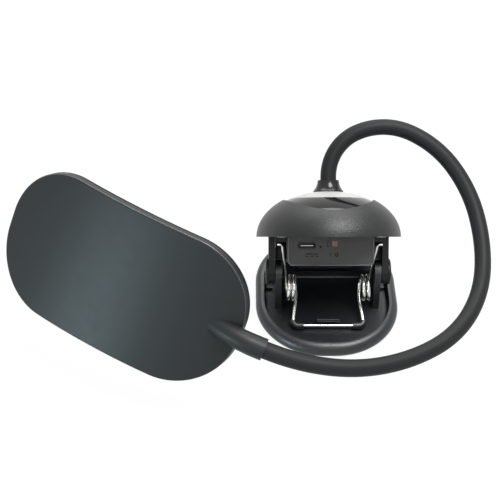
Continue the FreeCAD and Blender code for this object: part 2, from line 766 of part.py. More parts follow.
def neck_turn(index):
    """Turn axis, turn angle and centre of one length of neck, in its own frame."""
    bend = NECK_BEND_ANGLES[index]
    cross = NECK_CROSS_ANGLES[index]
    angle = math.hypot(bend, cross)
    axis = Vec(cross / angle, bend / angle, 0)
    radius = NECK_STEP / math.radians(angle)
    centre = Vec(bend / angle * radius, -cross / angle * radius, 0)
    return axis, angle, centre


def neck_frames():
    """Frame at the start of each length of neck, and at the end of the last."""
    frame = UPPER.multiply(FreeCAD.Placement(Vec(0, 0, NECK_START), FreeCAD.Rotation()))
    frames = [frame]
    for index in range(len(NECK_BEND_ANGLES)):
        axis, angle, centre = neck_turn(index)
        turn = FreeCAD.Placement(Vec(0, 0, 0), FreeCAD.Rotation(axis, angle), centre)
        frame = frame.multiply(turn)
        frames.append(frame)
    return frames


def neck_segment(index, frame):
    """One bent length: hollow round start over the ball before it, ball or plain tail at its end."""
    axis, angle, centre = neck_turn(index)
    disc = Part.Face(Part.Wire(Part.makeCircle(NECK_RADIUS)))
    length = disc.revolve(centre, axis, angle)
    turn = FreeCAD.Placement(Vec(0, 0, 0), FreeCAD.Rotation(axis, angle), centre)
    end = turn.multVec(Vec(0, 0, 0))
    ahead = turn.Rotation.multVec(Vec(0, 0, 1))
    if index < len(NECK_BEND_ANGLES) - 1:
        finish = dome_end(end, ahead)
    else:
        finish = rod(NECK_RADIUS, end, end + ahead * NECK_TAIL)
    length = joined([length, finish])
    length = length.cut(Part.makeSphere(NECK_RADIUS + NECK_JOINT_GAP))
    length.Placement = frame
    return length


def arc_cylinder(depth):
    """Round bar whose top is the head's arched back, less a depth."""
    start = Vec(HEAD_LENGTH / 2, -HEAD_WIDTH, HEAD_ARCH - ARC_RADIUS)
    return Part.makeCylinder(ARC_RADIUS - depth, HEAD_WIDTH * 2, start, Vec(0, 1, 0))


def arched(inset, top, bottom):
    """Arched plate of the head's outline, less an inset, between two depths below the back."""
    corner = HEAD_WIDTH / 2 * HEAD_CORNER_SHARE - inset
    half = HEAD_LENGTH / 2
    prism = slab(half - inset, HEAD_WIDTH / 2 - inset, corner, -half, half)
    prism.translate(Vec(half, 0, 0))
    return prism.common(arc_cylinder(top)).cut(arc_cylinder(bottom))


def edges_at_depth(shape, depth):
    """Edges of a head piece that lie wholly at one depth below the arched back."""
    found = []
    for edge in shape.Edges:
        off = 0
        for place in edge.discretize(5):
            height = place.z - HEAD_ARCH + ARC_RADIUS
            radius = math.hypot(place.x - HEAD_LENGTH / 2, height)
            off = max(off, abs(radius - ARC_RADIUS + depth))
        if off < BOARD_SEAT_GAP:
            found.append(edge)
    return found


def on_arch(shape, along):
    """A piece built under the top of the arch, swung along the arch by a distance."""
    axis = Vec(HEAD_LENGTH / 2, 0, HEAD_ARCH - ARC_RADIUS)
    shape.rotate(axis, Vec(0, 1, 0), math.degrees(along / ARC_RADIUS))
    return shape


def neck_point(along, rise):
    """Point on the neck's line in the head, with a rise towards the back, in the plate's frame."""
    return PLATE.inverse().multVec(Vec(along, 0, rise))


def neck_socket():
    """Socket that dips from the neck's mouth into the back of the plate."""
    way = PLATE.inverse().Rotation.multVec(Vec(1, 0, 0))
    tip_along = SOCKET_LENGTH - SOCKET_REACH
    arch_there = math.sqrt(ARC_RADIUS ** 2 - (tip_along - HEAD_LENGTH / 2) ** 2)
    tip = Vec(tip_along, 0, HEAD_ARCH - ARC_RADIUS + arch_there - SOCKET_TIP_SINK)
    sections = [
        Part.Wire(Part.makeCircle(SOCKET_RADIUS, neck_point(0, 0), way)),
        Part.Wire(Part.makeCircle(SOCKET_WAIST_RADIUS, neck_point(SOCKET_REACH, -SOCKET_WAIST_SINK), way)),
        Part.Wire(Part.makeCircle(SOCKET_TIP_RADIUS, tip, way)),
    ]
    return Part.makeLoft(sections, True, False)


def head_back_cover():
    """Shallow arched back cover with the socket that takes the neck."""
    plate = arched(0, 0, HEAD_BACK_DEPTH)
    plate = plate.makeFillet(HEAD_BACK_ROUND, edges_at_depth(plate, 0))
    cover = joined([plate, neck_socket()])
    cover = cover.cut(arched(HEAD_WALL, HEAD_WALL, HEAD_BACK_DEPTH + OVERRUN))
    below = arched(0, HEAD_BACK_DEPTH, HEAD_BACK_DEPTH + HEAD_FRAME_DEPTH + SOCKET_RADIUS * 2)
    cover = cover.cut(below)
    bore = rod(
        NECK_RADIUS + SOCKET_GAP, neck_point(-OVERRUN, 0), neck_point(NECK_TAIL + SOCKET_GAP, 0)
    )
    cover = cover.cut(bore)
    level = HEAD_ARCH - HEAD_WALL
    for along, across in board_screw_places():
        foot = Vec(HEAD_LENGTH / 2, across, level)
        hole = rod(
            BOARD_SCREW_SHANK + BOARD_SCREW_GAP,
            foot - Vec(0, 0, LED_BOARD_THICKNESS),
            foot + Vec(0, 0, BOARD_SCREW_BITE + BOARD_SCREW_GAP),
        )
        cover = cover.cut(on_arch(hole, along))
    return cover


def head_front_frame():
    """Front frame: an arched ring with a step that the diffuser lies in."""
    front = HEAD_BACK_DEPTH + HEAD_FRAME_DEPTH
    ring = arched(0, HEAD_BACK_DEPTH, front)
    ring = ring.makeFillet(HEAD_FRAME_ROUND, edges_at_depth(ring, front))
    step = HEAD_BACK_DEPTH + DIFFUSER_THICKNESS
    ring = ring.cut(arched(WINDOW_INSET, step - OVERRUN, front + OVERRUN))
    return ring.cut(arched(DIFFUSER_INSET, HEAD_BACK_DEPTH - OVERRUN, step))


def head_diffuser():
    """Milky plate in the step of the front frame."""
    step = HEAD_BACK_DEPTH + DIFFUSER_THICKNESS
    return arched(DIFFUSER_INSET + DIFFUSER_GAP, HEAD_BACK_DEPTH, step)


def led_field():
    """Length and width of the field that the LED chips fill."""
    length = (HEAD_LENGTH - LED_BOARD_INSET * 2) * LED_FIELD_SHARE
    width = (HEAD_WIDTH - LED_BOARD_INSET * 2) * LED_FIELD_SHARE
    return length, width


def board_screw_places():
    """The four screws of the LED board, along the arch and across it, clear of the chips."""
    length, width = led_field()
    along = (HEAD_LENGTH / 2 - HEAD_WIDTH / 2 * HEAD_CORNER_SHARE) * BOARD_SCREW_SHARE
    across = width / 2 + LED_SIZE / 2 + BOARD_SCREW_MARGIN + BOARD_SCREW_HEAD
    places = []
    for sign_x in (-1, 1):
        for sign_y in (-1, 1):
            places.append((sign_x * along, sign_y * across))
    return places


def led_board():
    """Metal board, bent to lie against the inside of the back cover."""
    board = arched(LED_BOARD_INSET, HEAD_WALL, HEAD_WALL + LED_BOARD_THICKNESS)
    level = HEAD_ARCH - HEAD_WALL
    for along, across in board_screw_places():
        foot = Vec(HEAD_LENGTH / 2, across, level)
        hole = rod(
            BOARD_SCREW_SHANK + BOARD_SCREW_GAP,
            foot - Vec(0, 0, LED_BOARD_THICKNESS + OVERRUN),
            foot + Vec(0, 0, OVERRUN),
        )
        board = board.cut(on_arch(hole, along))
    return board


def lit_face():
    """Height of the board's lit face under the top of the arch, less the seat's gap."""
    return HEAD_ARCH - HEAD_WALL - LED_BOARD_THICKNESS - BOARD_SEAT_GAP


def board_screws():
    """Four screws with flat heads on the lit side of the board."""
    screws = []
    for along, across in board_screw_places():
        seat = Vec(HEAD_LENGTH / 2, across, lit_face())
        end = Vec(HEAD_LENGTH / 2, across, HEAD_ARCH - HEAD_WALL + BOARD_SCREW_BITE)
        head = rod(BOARD_SCREW_HEAD, seat - Vec(0, 0, BOARD_SCREW_HEAD_HEIGHT), seat)
        screw = head.fuse(rod(BOARD_SCREW_SHANK, seat, end)).removeSplitter()
        screws.append(on_arch(screw, along))
    return Part.makeCompound(screws)


def led_chips():
    """Even rows of LED chips on the lit side of the board."""
    length, width = led_field()
    top = lit_face() - LED_SOLDER_GAP
    half = LED_SIZE / 2
    middle = HEAD_LENGTH / 2
    chips = []
    for column in range(LED_COLUMNS):
        along = length * column / (LED_COLUMNS - 1) - length / 2
        for row in range(LED_ROWS):
            across = width * row / (LED_ROWS - 1) - width / 2
            chip = block(
                Vec(middle - half, across - half, top - LED_HEIGHT),
                Vec(middle + half, across + half, top),
            )
            chips.append(on_arch(chip, along))
    return Part.makeCompound(chips)


def lead_connector():
    """Plug for the leads, on the end of the board by the socket."""
    length, width = led_field()
    along = (length + LED_SIZE + CONNECTOR_LENGTH) / 2 + BOARD_SCREW_MARGIN
    top = lit_face()
    middle = HEAD_LENGTH / 2
    plug = block(
        Vec(middle - CONNECTOR_LENGTH / 2, -CONNECTOR_WIDTH / 2, top - CONNECTOR_HEIGHT),
        Vec(middle + CONNECTOR_LENGTH / 2, CONNECTOR_WIDTH / 2, top),
    )
    return on_arch(plug, -along)


def tangent_arc(start, control, end):
    """Round arc that leaves along start to control and arrives along control to end."""
    before = (control - start).normalize()
    after = (end - control).normalize()
    half_turn = before.getAngle(after) / 2
    weight = math.cos(half_turn)
    middle = (start + control * (2 * weight) + end) * (1 / (2 + 2 * weight))
    return Part.Arc(start, middle, end).toShape()


def biarc(start, start_way, end, end_way):
    """Two arcs that join two points and keep the direction at each."""
    chord = end - start
    both = start_way + end_way
    lean = chord.dot(both)
    bend = 2 - 2 * start_way.dot(end_way)
    reach = (math.sqrt(lean * lean + bend * chord.dot(chord)) - lean) / bend
    first = start + start_way * reach
    second = end - end_way * reach
    join = (first + second) * 0.5
    return [tangent_arc(start, first, join), tangent_arc(join, second, end)]


def coil_point(angle, side):
    """Point on the coil, and the wire's direction there, at a clockwise angle from its start."""
    start, total = coil_angles()
    share = (angle - start) / total
    across = COIL_OUTSIDE + (COIL_INSIDE - COIL_OUTSIDE) * share
    forward = COIL_RADIUS * math.cos(angle)
    down = COIL_RADIUS * math.sin(angle)
    point = Vec(side * across, -COIL_BACK + forward, COIL_LEVEL - down)
    slope = side * (COIL_INSIDE - COIL_OUTSIDE) / total
    way = Vec(slope, -COIL_RADIUS * math.sin(angle), -COIL_RADIUS * math.cos(angle))
    return point, way.normalize()


def hook_place():
    """Where the spring's hook turns outwards, in the lower jaw's frame."""
    return UPPER.multVec(Vec(0, -HOOK_BACK, -HOOK_DROP))


def coil_angles():
    """Clockwise start angle of the coil under the hook, and its whole turn."""
    hook = hook_place()
    to_hook = Vec(0, hook.y + COIL_BACK, hook.z - COIL_LEVEL)
    hook_angle = math.atan2(-to_hook.z, to_hook.y)
    start = hook_angle + math.acos(COIL_RADIUS / to_hook.Length)
    to_bar = Vec(0, COIL_BACK - BAR_BACK, BAR_LEVEL - COIL_LEVEL)
    bar_angle = math.atan2(-to_bar.z, to_bar.y)
    end = bar_angle - math.acos(COIL_RADIUS / to_bar.Length)
    full = 2 * math.pi
    while end < start:
        end += full
    while end - start > full:
        end -= full
    return start, end - start + COIL_TURNS * full


def corner_arc(before, corner, after, radius):
    """Arc that rounds a corner, with the points where it starts and ends."""
    back = (before - corner).normalize()
    ahead = (after - corner).normalize()
    half = back.getAngle(ahead) / 2
    run = radius / math.tan(half)
    start = corner + back * run
    end = corner + ahead * run
    return start, tangent_arc(start, corner, end), end


def spring_half(side):
    """Edges of one half of the spring, from the hook's tip to the middle of the bar."""
    hook = hook_place()
    start_angle, total = coil_angles()
    first, first_way = coil_point(start_angle, side)
    corner = Vec(side * HOOK_SIDE, hook.y, hook.z)
    tip = corner + Vec(side * (HOOK_BEND + HOOK_TIP), 0, 0)
    bend_in, bend, bend_out = corner_arc(tip, corner, first, HOOK_BEND)
    edges = [Part.makeLine(tip, bend_in), bend]
    edges += biarc(bend_out, (first - corner).normalize(), first, first_way)
    pieces = int(math.ceil(total / (math.pi / 2)))
    step = total / pieces
    for index in range(pieces):
        here, here_way = coil_point(start_angle + step * index, side)
        there, there_way = coil_point(start_angle + step * (index + 1), side)
        edges += biarc(here, here_way, there, there_way)
    last, last_way = coil_point(start_angle + total, side)
    bar_corner = Vec(side * LEG_SPREAD, -BAR_BACK, BAR_LEVEL)
    leg_in, leg_bend, leg_out = corner_arc(last, bar_corner, Vec(0, -BAR_BACK, BAR_LEVEL), LEG_BEND)
    edges += biarc(last, last_way, leg_in, (bar_corner - last).normalize())
    edges += [leg_bend, Part.makeLine(leg_out, Vec(0, -BAR_BACK, BAR_LEVEL))]
    return edges


def swept(edges, radius):
    """Round wire along a run of joined edges."""
    spine = Part.Wire(edges)
    start = edges[0].valueAt(edges[0].FirstParameter)
    way = edges[0].tangentAt(edges[0].FirstParameter)
    profile = Part.Wire(Part.makeCircle(radius, start, way))
    return spine.makePipeShell([profile], True, False)


def reversed_edges(edges):
    """The same run of edges, walked from its other end."""
    turned = []
    for edge in reversed(edges):
        ends = edge.FirstParameter, edge.LastParameter
        start, end = edge.valueAt(ends[1]), edge.valueAt(ends[0])
        if isinstance(edge.Curve, Part.Line):
            turned.append(Part.makeLine(start, end))
        else:
            middle = edge.valueAt((ends[0] + ends[1]) / 2)
            turned.append(Part.Arc(start, middle, end).toShape())
    return turned


def clip_spring():
    """The whole spring as one unbroken wire."""
    edges = spring_half(1) + reversed_edges(spring_half(-1))
    print_least_gap(edges)
    return swept(edges, WIRE_RADIUS)


def print_least_gap(edges):
    """Measures on points how near the wire comes to itself, and prints it."""
    points = []
    walked = 0
    for edge in edges:
        count = max(2, int(math.ceil(edge.Length / WIRE_RADIUS)))
        span = edge.LastParameter - edge.FirstParameter
        for index in range(count):
            place = edge.valueAt(edge.FirstParameter + span * index / count)
            points.append((walked + edge.Length * index / count, place))
        walked += edge.Length
    least = walked
    apart = COIL_RADIUS * 2
    for index, (along, place) in enumerate(points):
        for other_along, other in points[index + 1:]:
            if other_along - along > apart:
                least = min(least, place.distanceToPoint(other))
    print("least gap of the spring to itself, mm: %.2f" % (least - WIRE_RADIUS * 2))


def spring_sleeves():
    """Soft sleeves over the ends of the cross bar and its bends."""
    start_angle, total = coil_angles()
    last, last_way = coil_point(start_angle + total, 1)
    middle = Vec(0, -BAR_BACK, BAR_LEVEL)
    corner = Vec(LEG_SPREAD, -BAR_BACK, BAR_LEVEL)
    leg_in, leg_bend, leg_out = corner_arc(last, corner, middle, LEG_BEND)
    edges = [Part.makeLine(Vec(SLEEVE_END, -BAR_BACK, BAR_LEVEL), leg_out)]
    edges += reversed_edges([leg_bend])
    outside = swept(edges, SLEEVE_RADIUS)
    inside = swept(edges, WIRE_RADIUS + SLEEVE_GAP)
    right = outside.cut(inside)
    left = right.mirror(Vec(0, 0, 0), Vec(1, 0, 0))
    return Part.makeCompound([right, left])


def placed(shape, place):
    """The shape moved from its own frame to where it stands on the lamp."""
    shape.Placement = place.multiply(shape.Placement)
    return shape


def build():
    """All pieces by name, each where it stands."""
    pieces = {
        "lower_jaw_shell": lower_jaw_shell(),
        "foot_pad": foot_pad(),
        "lower_grip_pad": lower_grip_pad(),
        "clip_spring": clip_spring(),
        "spring_sleeves": spring_sleeves(),
    }
    on_upper = {
        "upper_jaw_shell": upper_jaw_shell,
        "upper_frame": upper_frame,
        "hinge_pins": hinge_pins,
        "frame_screws": frame_screws,
        "upper_grip_pad": upper_grip_pad,
        "top_panel": top_panel,
        "top_cap": top_cap,
        "electronics_box": electronics_box,
        "main_board": main_board,
        "usb_port": usb_port,
        "usb_tongue": usb_tongue,
        "charge_light": charge_light,
        "switch_body": switch_body,
        "switch_knob": switch_knob,
        "battery_cell": battery_cell,
        "neck_collar": neck_collar,
        "neck_anchor": neck_anchor,
        "neck_stub": neck_stub,
    }
    for name, make in on_upper.items():
        pieces[name] = placed(make(), UPPER)
    frames = neck_frames()
    for index in range(len(NECK_BEND_ANGLES)):
        pieces["neck_segment_%02d" % (index + 1)] = neck_segment(index, frames[index])
    level = FreeCAD.Rotation(Vec(0, 0, 1), HEAD_ROLL_ANGLE)
    swap = FreeCAD.Rotation(Vec(1, 0, 1), 180)
    head = frames[-1].multiply(FreeCAD.Placement(Vec(0, 0, 0), level.multiply(swap))).multiply(PLATE)
    on_head_frame = {
        "head_back_cover": head_back_cover,
        "head_front_frame": head_front_frame,
        "head_diffuser": head_diffuser,
        "led_board": led_board,
        "led_chips": led_chips,
        "board_screws": board_screws,
        "lead_connector": lead_connector,
    }
    for name, make in on_head_frame.items():
        pieces[name] = placed(make(), head)
    return pieces


os.makedirs("parts", exist_ok=True)
print("jaw angle at rest, degrees: %.2f" % JAW_ANGLE)
for node, shape in build().items():
    shape.exportStep("parts/%s.step" % node)
    print("%s: solids %d, valid %s, volume %.1f" % (node, len(shape.Solids), shape.isValid(), shape.Volume))
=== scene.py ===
"""Looks of a clip-on gooseneck lamp, over the frame packed from its CAD."""

import logging
import math
from collections.abc import Mapping, Sequence
from dataclasses import dataclass, field
from enum import Enum

import bmesh
import bpy
from mathutils import Euler, Matrix, Vector


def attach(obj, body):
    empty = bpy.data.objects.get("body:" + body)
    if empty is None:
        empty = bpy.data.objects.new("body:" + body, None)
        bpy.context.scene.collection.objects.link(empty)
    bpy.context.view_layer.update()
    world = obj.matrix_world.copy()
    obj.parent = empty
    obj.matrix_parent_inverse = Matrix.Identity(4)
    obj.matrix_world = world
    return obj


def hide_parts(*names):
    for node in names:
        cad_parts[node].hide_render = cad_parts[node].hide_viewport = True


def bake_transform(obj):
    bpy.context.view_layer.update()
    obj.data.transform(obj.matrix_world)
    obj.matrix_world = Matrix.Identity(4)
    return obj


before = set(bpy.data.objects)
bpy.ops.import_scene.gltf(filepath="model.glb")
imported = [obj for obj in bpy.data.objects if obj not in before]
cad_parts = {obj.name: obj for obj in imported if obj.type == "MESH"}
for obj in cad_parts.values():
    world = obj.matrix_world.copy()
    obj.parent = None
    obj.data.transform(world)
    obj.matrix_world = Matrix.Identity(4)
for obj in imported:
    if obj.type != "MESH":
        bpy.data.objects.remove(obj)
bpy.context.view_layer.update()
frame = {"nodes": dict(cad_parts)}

LOG = logging.getLogger("lamp")
MM = 0.001
QUARTER_TURN = 90.0
WHITE = (1.0, 1.0, 1.0, 1.0)
FLOAT = "NodeSocketFloat"
COLOR = "NodeSocketColor"

# Faces round a fine wire.
MARK_SIDES = 8
BEAD_SIDES = 12
EDGE_SIDES = 16


def mm(x: float, y: float, z: float) -> Vector:
    """Point or size given in millimetres, in metres."""
    return Vector((x, y, z)) * MM


class Relief(Enum):
    """Kinds of fine relief that a finish can carry."""

    SPARK = "spark"
    DRAWN = "drawn"


class Body(Enum):
    """Bodies of the frame that pieces ride on."""

    LOWER_JAW = "lower_jaw"
    UPPER_JAW = "upper_jaw"
    SWITCH = "switch"
    HEAD = "head"


class NodeSheet:
    """Helper that places nodes in one tree and links their sockets."""

    def __init__(self, tree: bpy.types.NodeTree) -> None:
        """Keeps the tree that the nodes go in."""
        self.tree = tree

    def add(
        self, kind: str, inputs: Mapping[str | int, object] | None = None, **settings: object
    ) -> bpy.types.Node:
        """Places one node.

        Args:
            kind: Blender's name for the node type.
            inputs: Values of input sockets, by name or number.
            settings: Node properties to set.

        Returns:
            The new node.
        """
        node = self.tree.nodes.new(kind)
        for key, value in settings.items():
            setattr(node, key, value)
        for socket, value in (inputs or {}).items():
            node.inputs[socket].default_value = value
        return node

    def link(
        self, source: bpy.types.Node, out: str | int, target: bpy.types.Node, into: str | int
    ) -> None:
        """Links a node's output to another node's input, each by name or number."""
        self.tree.links.new(source.outputs[out], target.inputs[into])


def fresh_sheet(
    owner: bpy.types.Material | bpy.types.World, kind: str
) -> tuple[NodeSheet, bpy.types.Node]:
    """Empties the tree of a material or world and gives it an output node of a kind."""
    owner.use_nodes = True
    owner.node_tree.nodes.clear()
    sheet = NodeSheet(owner.node_tree)
    return sheet, sheet.add(kind)


class ShaderGroups:
    """Shader node groups that the finishes share."""

    NOISE_MIDDLE = 0.5
    TONE_DETAIL = 3.0
    SHEEN_DETAIL = 4.0
    PEBBLE_DETAIL = 2.0
    PEBBLE_NOISE = 0.6
    LINE_DETAIL = 5.0
    LINE_STRETCH = (0.12, 1.0, 1.0)

    def __init__(self) -> None:
        """Builds each group once."""
        self.tone = self._tone()
        self.sheen = self._sheen()
        self.reliefs = {Relief.SPARK: self._spark(), Relief.DRAWN: self._drawn()}

    def _group(
        self, name: str, inputs: Sequence[tuple[str, str]], output: tuple[str, str]
    ) -> tuple[bpy.types.NodeTree, NodeSheet, bpy.types.Node, bpy.types.Node]:
        """Starts a group with named and typed sockets, and gives its input and output nodes."""
        tree = bpy.data.node_groups.new(name, "ShaderNodeTree")
        for label, kind in inputs:
            tree.interface.new_socket(label, in_out="INPUT", socket_type=kind)
        tree.interface.new_socket(output[0], in_out="OUTPUT", socket_type=output[1])
        sheet = NodeSheet(tree)
        return tree, sheet, sheet.add("NodeGroupInput"), sheet.add("NodeGroupOutput")

    def _noise(
        self,
        sheet: NodeSheet,
        given: bpy.types.Node,
        place: bpy.types.Node,
        out: str,
        detail: float,
    ) -> bpy.types.Node:
        """Noise at the group's scale, over the place that a node puts out."""
        noise = sheet.add("ShaderNodeTexNoise", {"Detail": detail})
        sheet.link(place, out, noise, "Vector")
        sheet.link(given, "Scale", noise, "Scale")
        return noise

    def _spread(self, sheet: NodeSheet, given: bpy.types.Node, detail: float) -> bpy.types.Node:
        """Node that adds noise around nought, times the group's drift, to its third input."""
        place = sheet.add("ShaderNodeTexCoord")
        noise = self._noise(sheet, given, place, "Object", detail)
        centred = sheet.add("ShaderNodeMath", {1: self.NOISE_MIDDLE}, operation="SUBTRACT")
        spread = sheet.add("ShaderNodeMath", operation="MULTIPLY_ADD")
        sheet.link(noise, "Fac", centred, 0)
        sheet.link(centred, 0, spread, 0)
        sheet.link(given, "Drift", spread, 1)
        return spread

    def _tone(self) -> bpy.types.NodeTree:
        """Colour that drifts a little lighter and darker over the surface."""
        tree, sheet, given, put = self._group(
            "tone_drift",
            [("Color", COLOR), ("Drift", FLOAT), ("Scale", FLOAT)],
            ("Color", COLOR),
        )
        spread = self._spread(sheet, given, self.TONE_DETAIL)
        spread.inputs[2].default_value = 1.0
        tint = sheet.add("ShaderNodeVectorMath", operation="SCALE")
        sheet.link(given, "Color", tint, 0)
        sheet.link(spread, 0, tint, "Scale")
        sheet.link(tint, 0, put, "Color")
        return tree

    def _sheen(self) -> bpy.types.NodeTree:
        """Roughness that drifts around its middle value."""
        tree, sheet, given, put = self._group(
            "sheen_drift",
            [("Middle", FLOAT), ("Drift", FLOAT), ("Scale", FLOAT)],
            ("Roughness", FLOAT),
        )
        spread = self._spread(sheet, given, self.SHEEN_DETAIL)
        spread.use_clamp = True
        sheet.link(given, "Middle", spread, 2)
        sheet.link(spread, 0, put, "Roughness")
        return tree

    def _spark(self) -> bpy.types.NodeTree:
        """Pebbled height of a spark-eroded mould."""
        tree, sheet, given, put = self._group("spark_relief", [("Scale", FLOAT)], ("Height", FLOAT))
        place = sheet.add("ShaderNodeTexCoord")
        noise = self._noise(sheet, given, place, "Object", self.PEBBLE_DETAIL)
        pebbles = sheet.add("ShaderNodeTexVoronoi", feature="SMOOTH_F1")
        both = sheet.add("ShaderNodeMath", {1: self.PEBBLE_NOISE}, operation="MULTIPLY_ADD")
        sheet.link(place, "Object", pebbles, "Vector")
        sheet.link(given, "Scale", pebbles, "Scale")
        sheet.link(noise, "Fac", both, 0)
        sheet.link(pebbles, "Distance", both, 2)
        sheet.link(both, 0, put, "Height")
        return tree

    def _drawn(self) -> bpy.types.NodeTree:
        """Height of fine lines along one way, as on drawn or brushed metal."""
        tree, sheet, given, put = self._group("drawn_relief", [("Scale", FLOAT)], ("Height", FLOAT))
        place = sheet.add("ShaderNodeTexCoord")
        stretch = sheet.add("ShaderNodeMapping", {"Scale": self.LINE_STRETCH})
        sheet.link(place, "Object", stretch, "Vector")
        noise = self._noise(sheet, given, stretch, "Vector", self.LINE_DETAIL)
        sheet.link(noise, "Fac", put, "Height")
        return tree


@dataclass(frozen=True)
class Finish:
    """One surface finish, made into a procedural material."""

    name: str
    color: tuple[float, float, float]
    roughness: float
    drift: float = 0.12
    drift_scale: float = 70.0
    sheen: float = 0.08
    sheen_scale: float = 260.0
    relief: Relief = Relief.SPARK
    relief_scale: float = 2600.0
    relief_depth: float = 0.02
    metallic: float = 0.0
    specular: float = 0.5
    subsurface: float = 0.0
    subsurface_reach: float = 2.0

    def material(self, groups: ShaderGroups) -> bpy.types.Material:
        """Builds the material on the shared shader groups."""
        made = bpy.data.materials.new(self.name)
        sheet, out = fresh_sheet(made, "ShaderNodeOutputMaterial")
        shader = sheet.add(
            "ShaderNodeBsdfPrincipled",
            {
                "Metallic": self.metallic,
                "Specular IOR Level": self.specular,
                "Subsurface Weight": self.subsurface,
                "Subsurface Radius": (1.0, 1.0, 1.0),
                "Subsurface Scale": self.subsurface_reach * MM,
            },
        )
        tone = sheet.add(
            "ShaderNodeGroup",
            {"Color": (*self.color, 1.0), "Drift": self.drift, "Scale": self.drift_scale},
            node_tree=groups.tone,
        )
        sheen = sheet.add(
            "ShaderNodeGroup",
            {"Middle": self.roughness, "Drift": self.sheen, "Scale": self.sheen_scale},
            node_tree=groups.sheen,
        )
        relief = sheet.add(
            "ShaderNodeGroup", {"Scale": self.relief_scale}, node_tree=groups.reliefs[self.relief]
        )
        bump = sheet.add("ShaderNodeBump", {"Strength": 1.0, "Distance": self.relief_depth * MM})
        sheet.link(tone, "Color", shader, "Base Color")
        sheet.link(sheen, "Roughness", shader, "Roughness")
        sheet.link(relief, "Height", bump, "Height")
        sheet.link(bump, "Normal", shader, "Normal")
        sheet.link(shader, "BSDF", out, "Surface")
        return made


def metal(
    name: str, color: tuple[float, float, float], roughness: float, relief_depth: float
) -> Finish:
    """Finish of a bare metal with fine drawn lines."""
    return Finish(
        name, color, roughness, metallic=1.0, relief=Relief.DRAWN, relief_depth=relief_depth
    )


CLIP_PLASTIC = Finish(
    "clip_plastic_finish", (0.01, 0.0104, 0.0106), 0.4,
    specular=0.4, relief_depth=0.12, relief_scale=2200.0,
)
JAW_PLASTIC = Finish(
    "jaw_plastic_finish", (0.0075, 0.0088, 0.0108), 0.36,
    specular=0.5, relief_depth=0.06, relief_scale=2200.0,
)
TRAY_PLASTIC = Finish(
    "frame_plastic_finish", (0.0062, 0.0064, 0.0072), 0.42,
    specular=0.2, relief_depth=0.03, relief_scale=2200.0,
)
BOX_PLASTIC = Finish(
    "box_plastic_finish", (0.036, 0.036, 0.0343), 0.5,
    specular=0.45, relief_depth=0.07, relief_scale=1500.0,
)
PANEL_GLOSS = Finish(
    "panel_gloss_finish", (0.006, 0.006, 0.007), 0.09,
    sheen=0.03, specular=0.4, relief_depth=0.002, relief_scale=300.0,
)
CAP_WHITE = Finish(
    "cap_white_finish", (0.37, 0.37, 0.365), 0.45,
    drift=0.04, relief_depth=0.002, relief_scale=500.0, subsurface=0.2,
)
COLLAR_PLASTIC = Finish(
    "collar_finish", (0.007, 0.007, 0.007), 0.2,
    specular=0.36, relief_depth=0.02, relief_scale=900.0,
)
NECK_RUBBER = Finish(
    "neck_rubber_finish", (0.0115, 0.012, 0.0125), 0.5,
    specular=0.15, relief_depth=0.02, relief_scale=2000.0,
)
HEAD_PLASTIC = Finish(
    "head_plastic_finish", (0.0125, 0.0145, 0.015), 0.42,
    drift=0.08, specular=0.22, relief_depth=0.012, relief_scale=2800.0,
)
HEAD_RIM_PLASTIC = Finish(
    "head_rim_finish", (0.009, 0.01, 0.0105), 0.5,
    specular=0.05, relief_depth=0.012, relief_scale=2800.0,
)
DIFFUSER_MILK = Finish(
    "diffuser_milk_finish", (0.74, 0.75, 0.76), 0.4,
    drift=0.03, relief_depth=0.004, subsurface=0.4,
)
LIGHT_CLEAR = Finish(
    "light_clear_finish", (0.004, 0.004, 0.004), 0.45,
    drift=0.05, specular=0.2, relief_depth=0.002,
)
# Glossy plastic much lighter than the head's back, for the bead on its edge: the real edge lip,
# with a painted highlight along it.
EDGE_HIGHLIGHT_GLOSS = Finish(
    "edge_highlight_gloss_finish", (0.045, 0.047, 0.048), 0.25, specular=0.7, relief_depth=0.004
)
# Near-black for the raised marks: painted shade standing in for the shadows of their embossing.
MARK_PAINTED_SHADE = Finish("mark_painted_shade_finish", (0.004, 0.004, 0.004), 0.5, specular=0.15, relief_depth=0.004)
LED_BOARD = Finish("led_board_finish", (0.84, 0.85, 0.85), 0.35, drift=0.04, relief_depth=0.004)
LED_RESIN = Finish("led_resin_finish", (0.88, 0.74, 0.20), 0.25, relief_depth=0.004)
# Plastic far lighter than the parts it edges, for beads that are painted highlights along the
# electronics box's edge and the spring stop's face.
HIGHLIGHT_BEAD_PLASTIC = Finish("highlight_bead_plastic_finish", (0.085, 0.086, 0.09), 0.35, relief_depth=0.01)
PAD_RUBBER = Finish("pad_rubber_finish", (0.022, 0.022, 0.024), 0.8, relief_depth=0.02)
SLEEVE_PLASTIC = Finish("sleeve_plastic_finish", (0.012, 0.012, 0.013), 0.35, relief_depth=0.006)
BOARD_LAMINATE = Finish("board_laminate_finish", (0.03, 0.13, 0.06), 0.4, relief_depth=0.01)
TONGUE_PLASTIC = Finish("tongue_plastic_finish", (0.014, 0.014, 0.014), 0.5, relief_depth=0.006)
SWITCH_PLASTIC = Finish("switch_plastic_finish", (0.40, 0.29, 0.23), 0.4, relief_depth=0.006)
KNOB_PLASTIC = Finish("knob_plastic_finish", (0.016, 0.016, 0.017), 0.4, relief_depth=0.01)
CELL_WRAP = Finish("cell_wrap_finish", (0.33, 0.36, 0.41), 0.4, relief_depth=0.01)
CONNECTOR_PLASTIC = Finish(
    "connector_plastic_finish", (0.78, 0.78, 0.75), 0.45, relief_depth=0.006
)
SPRING_STEEL = metal("spring_steel_finish", (0.64, 0.63, 0.61), 0.2, 0.004)
SCREW_STEEL = metal("screw_steel_finish", (0.55, 0.55, 0.56), 0.3, 0.006)
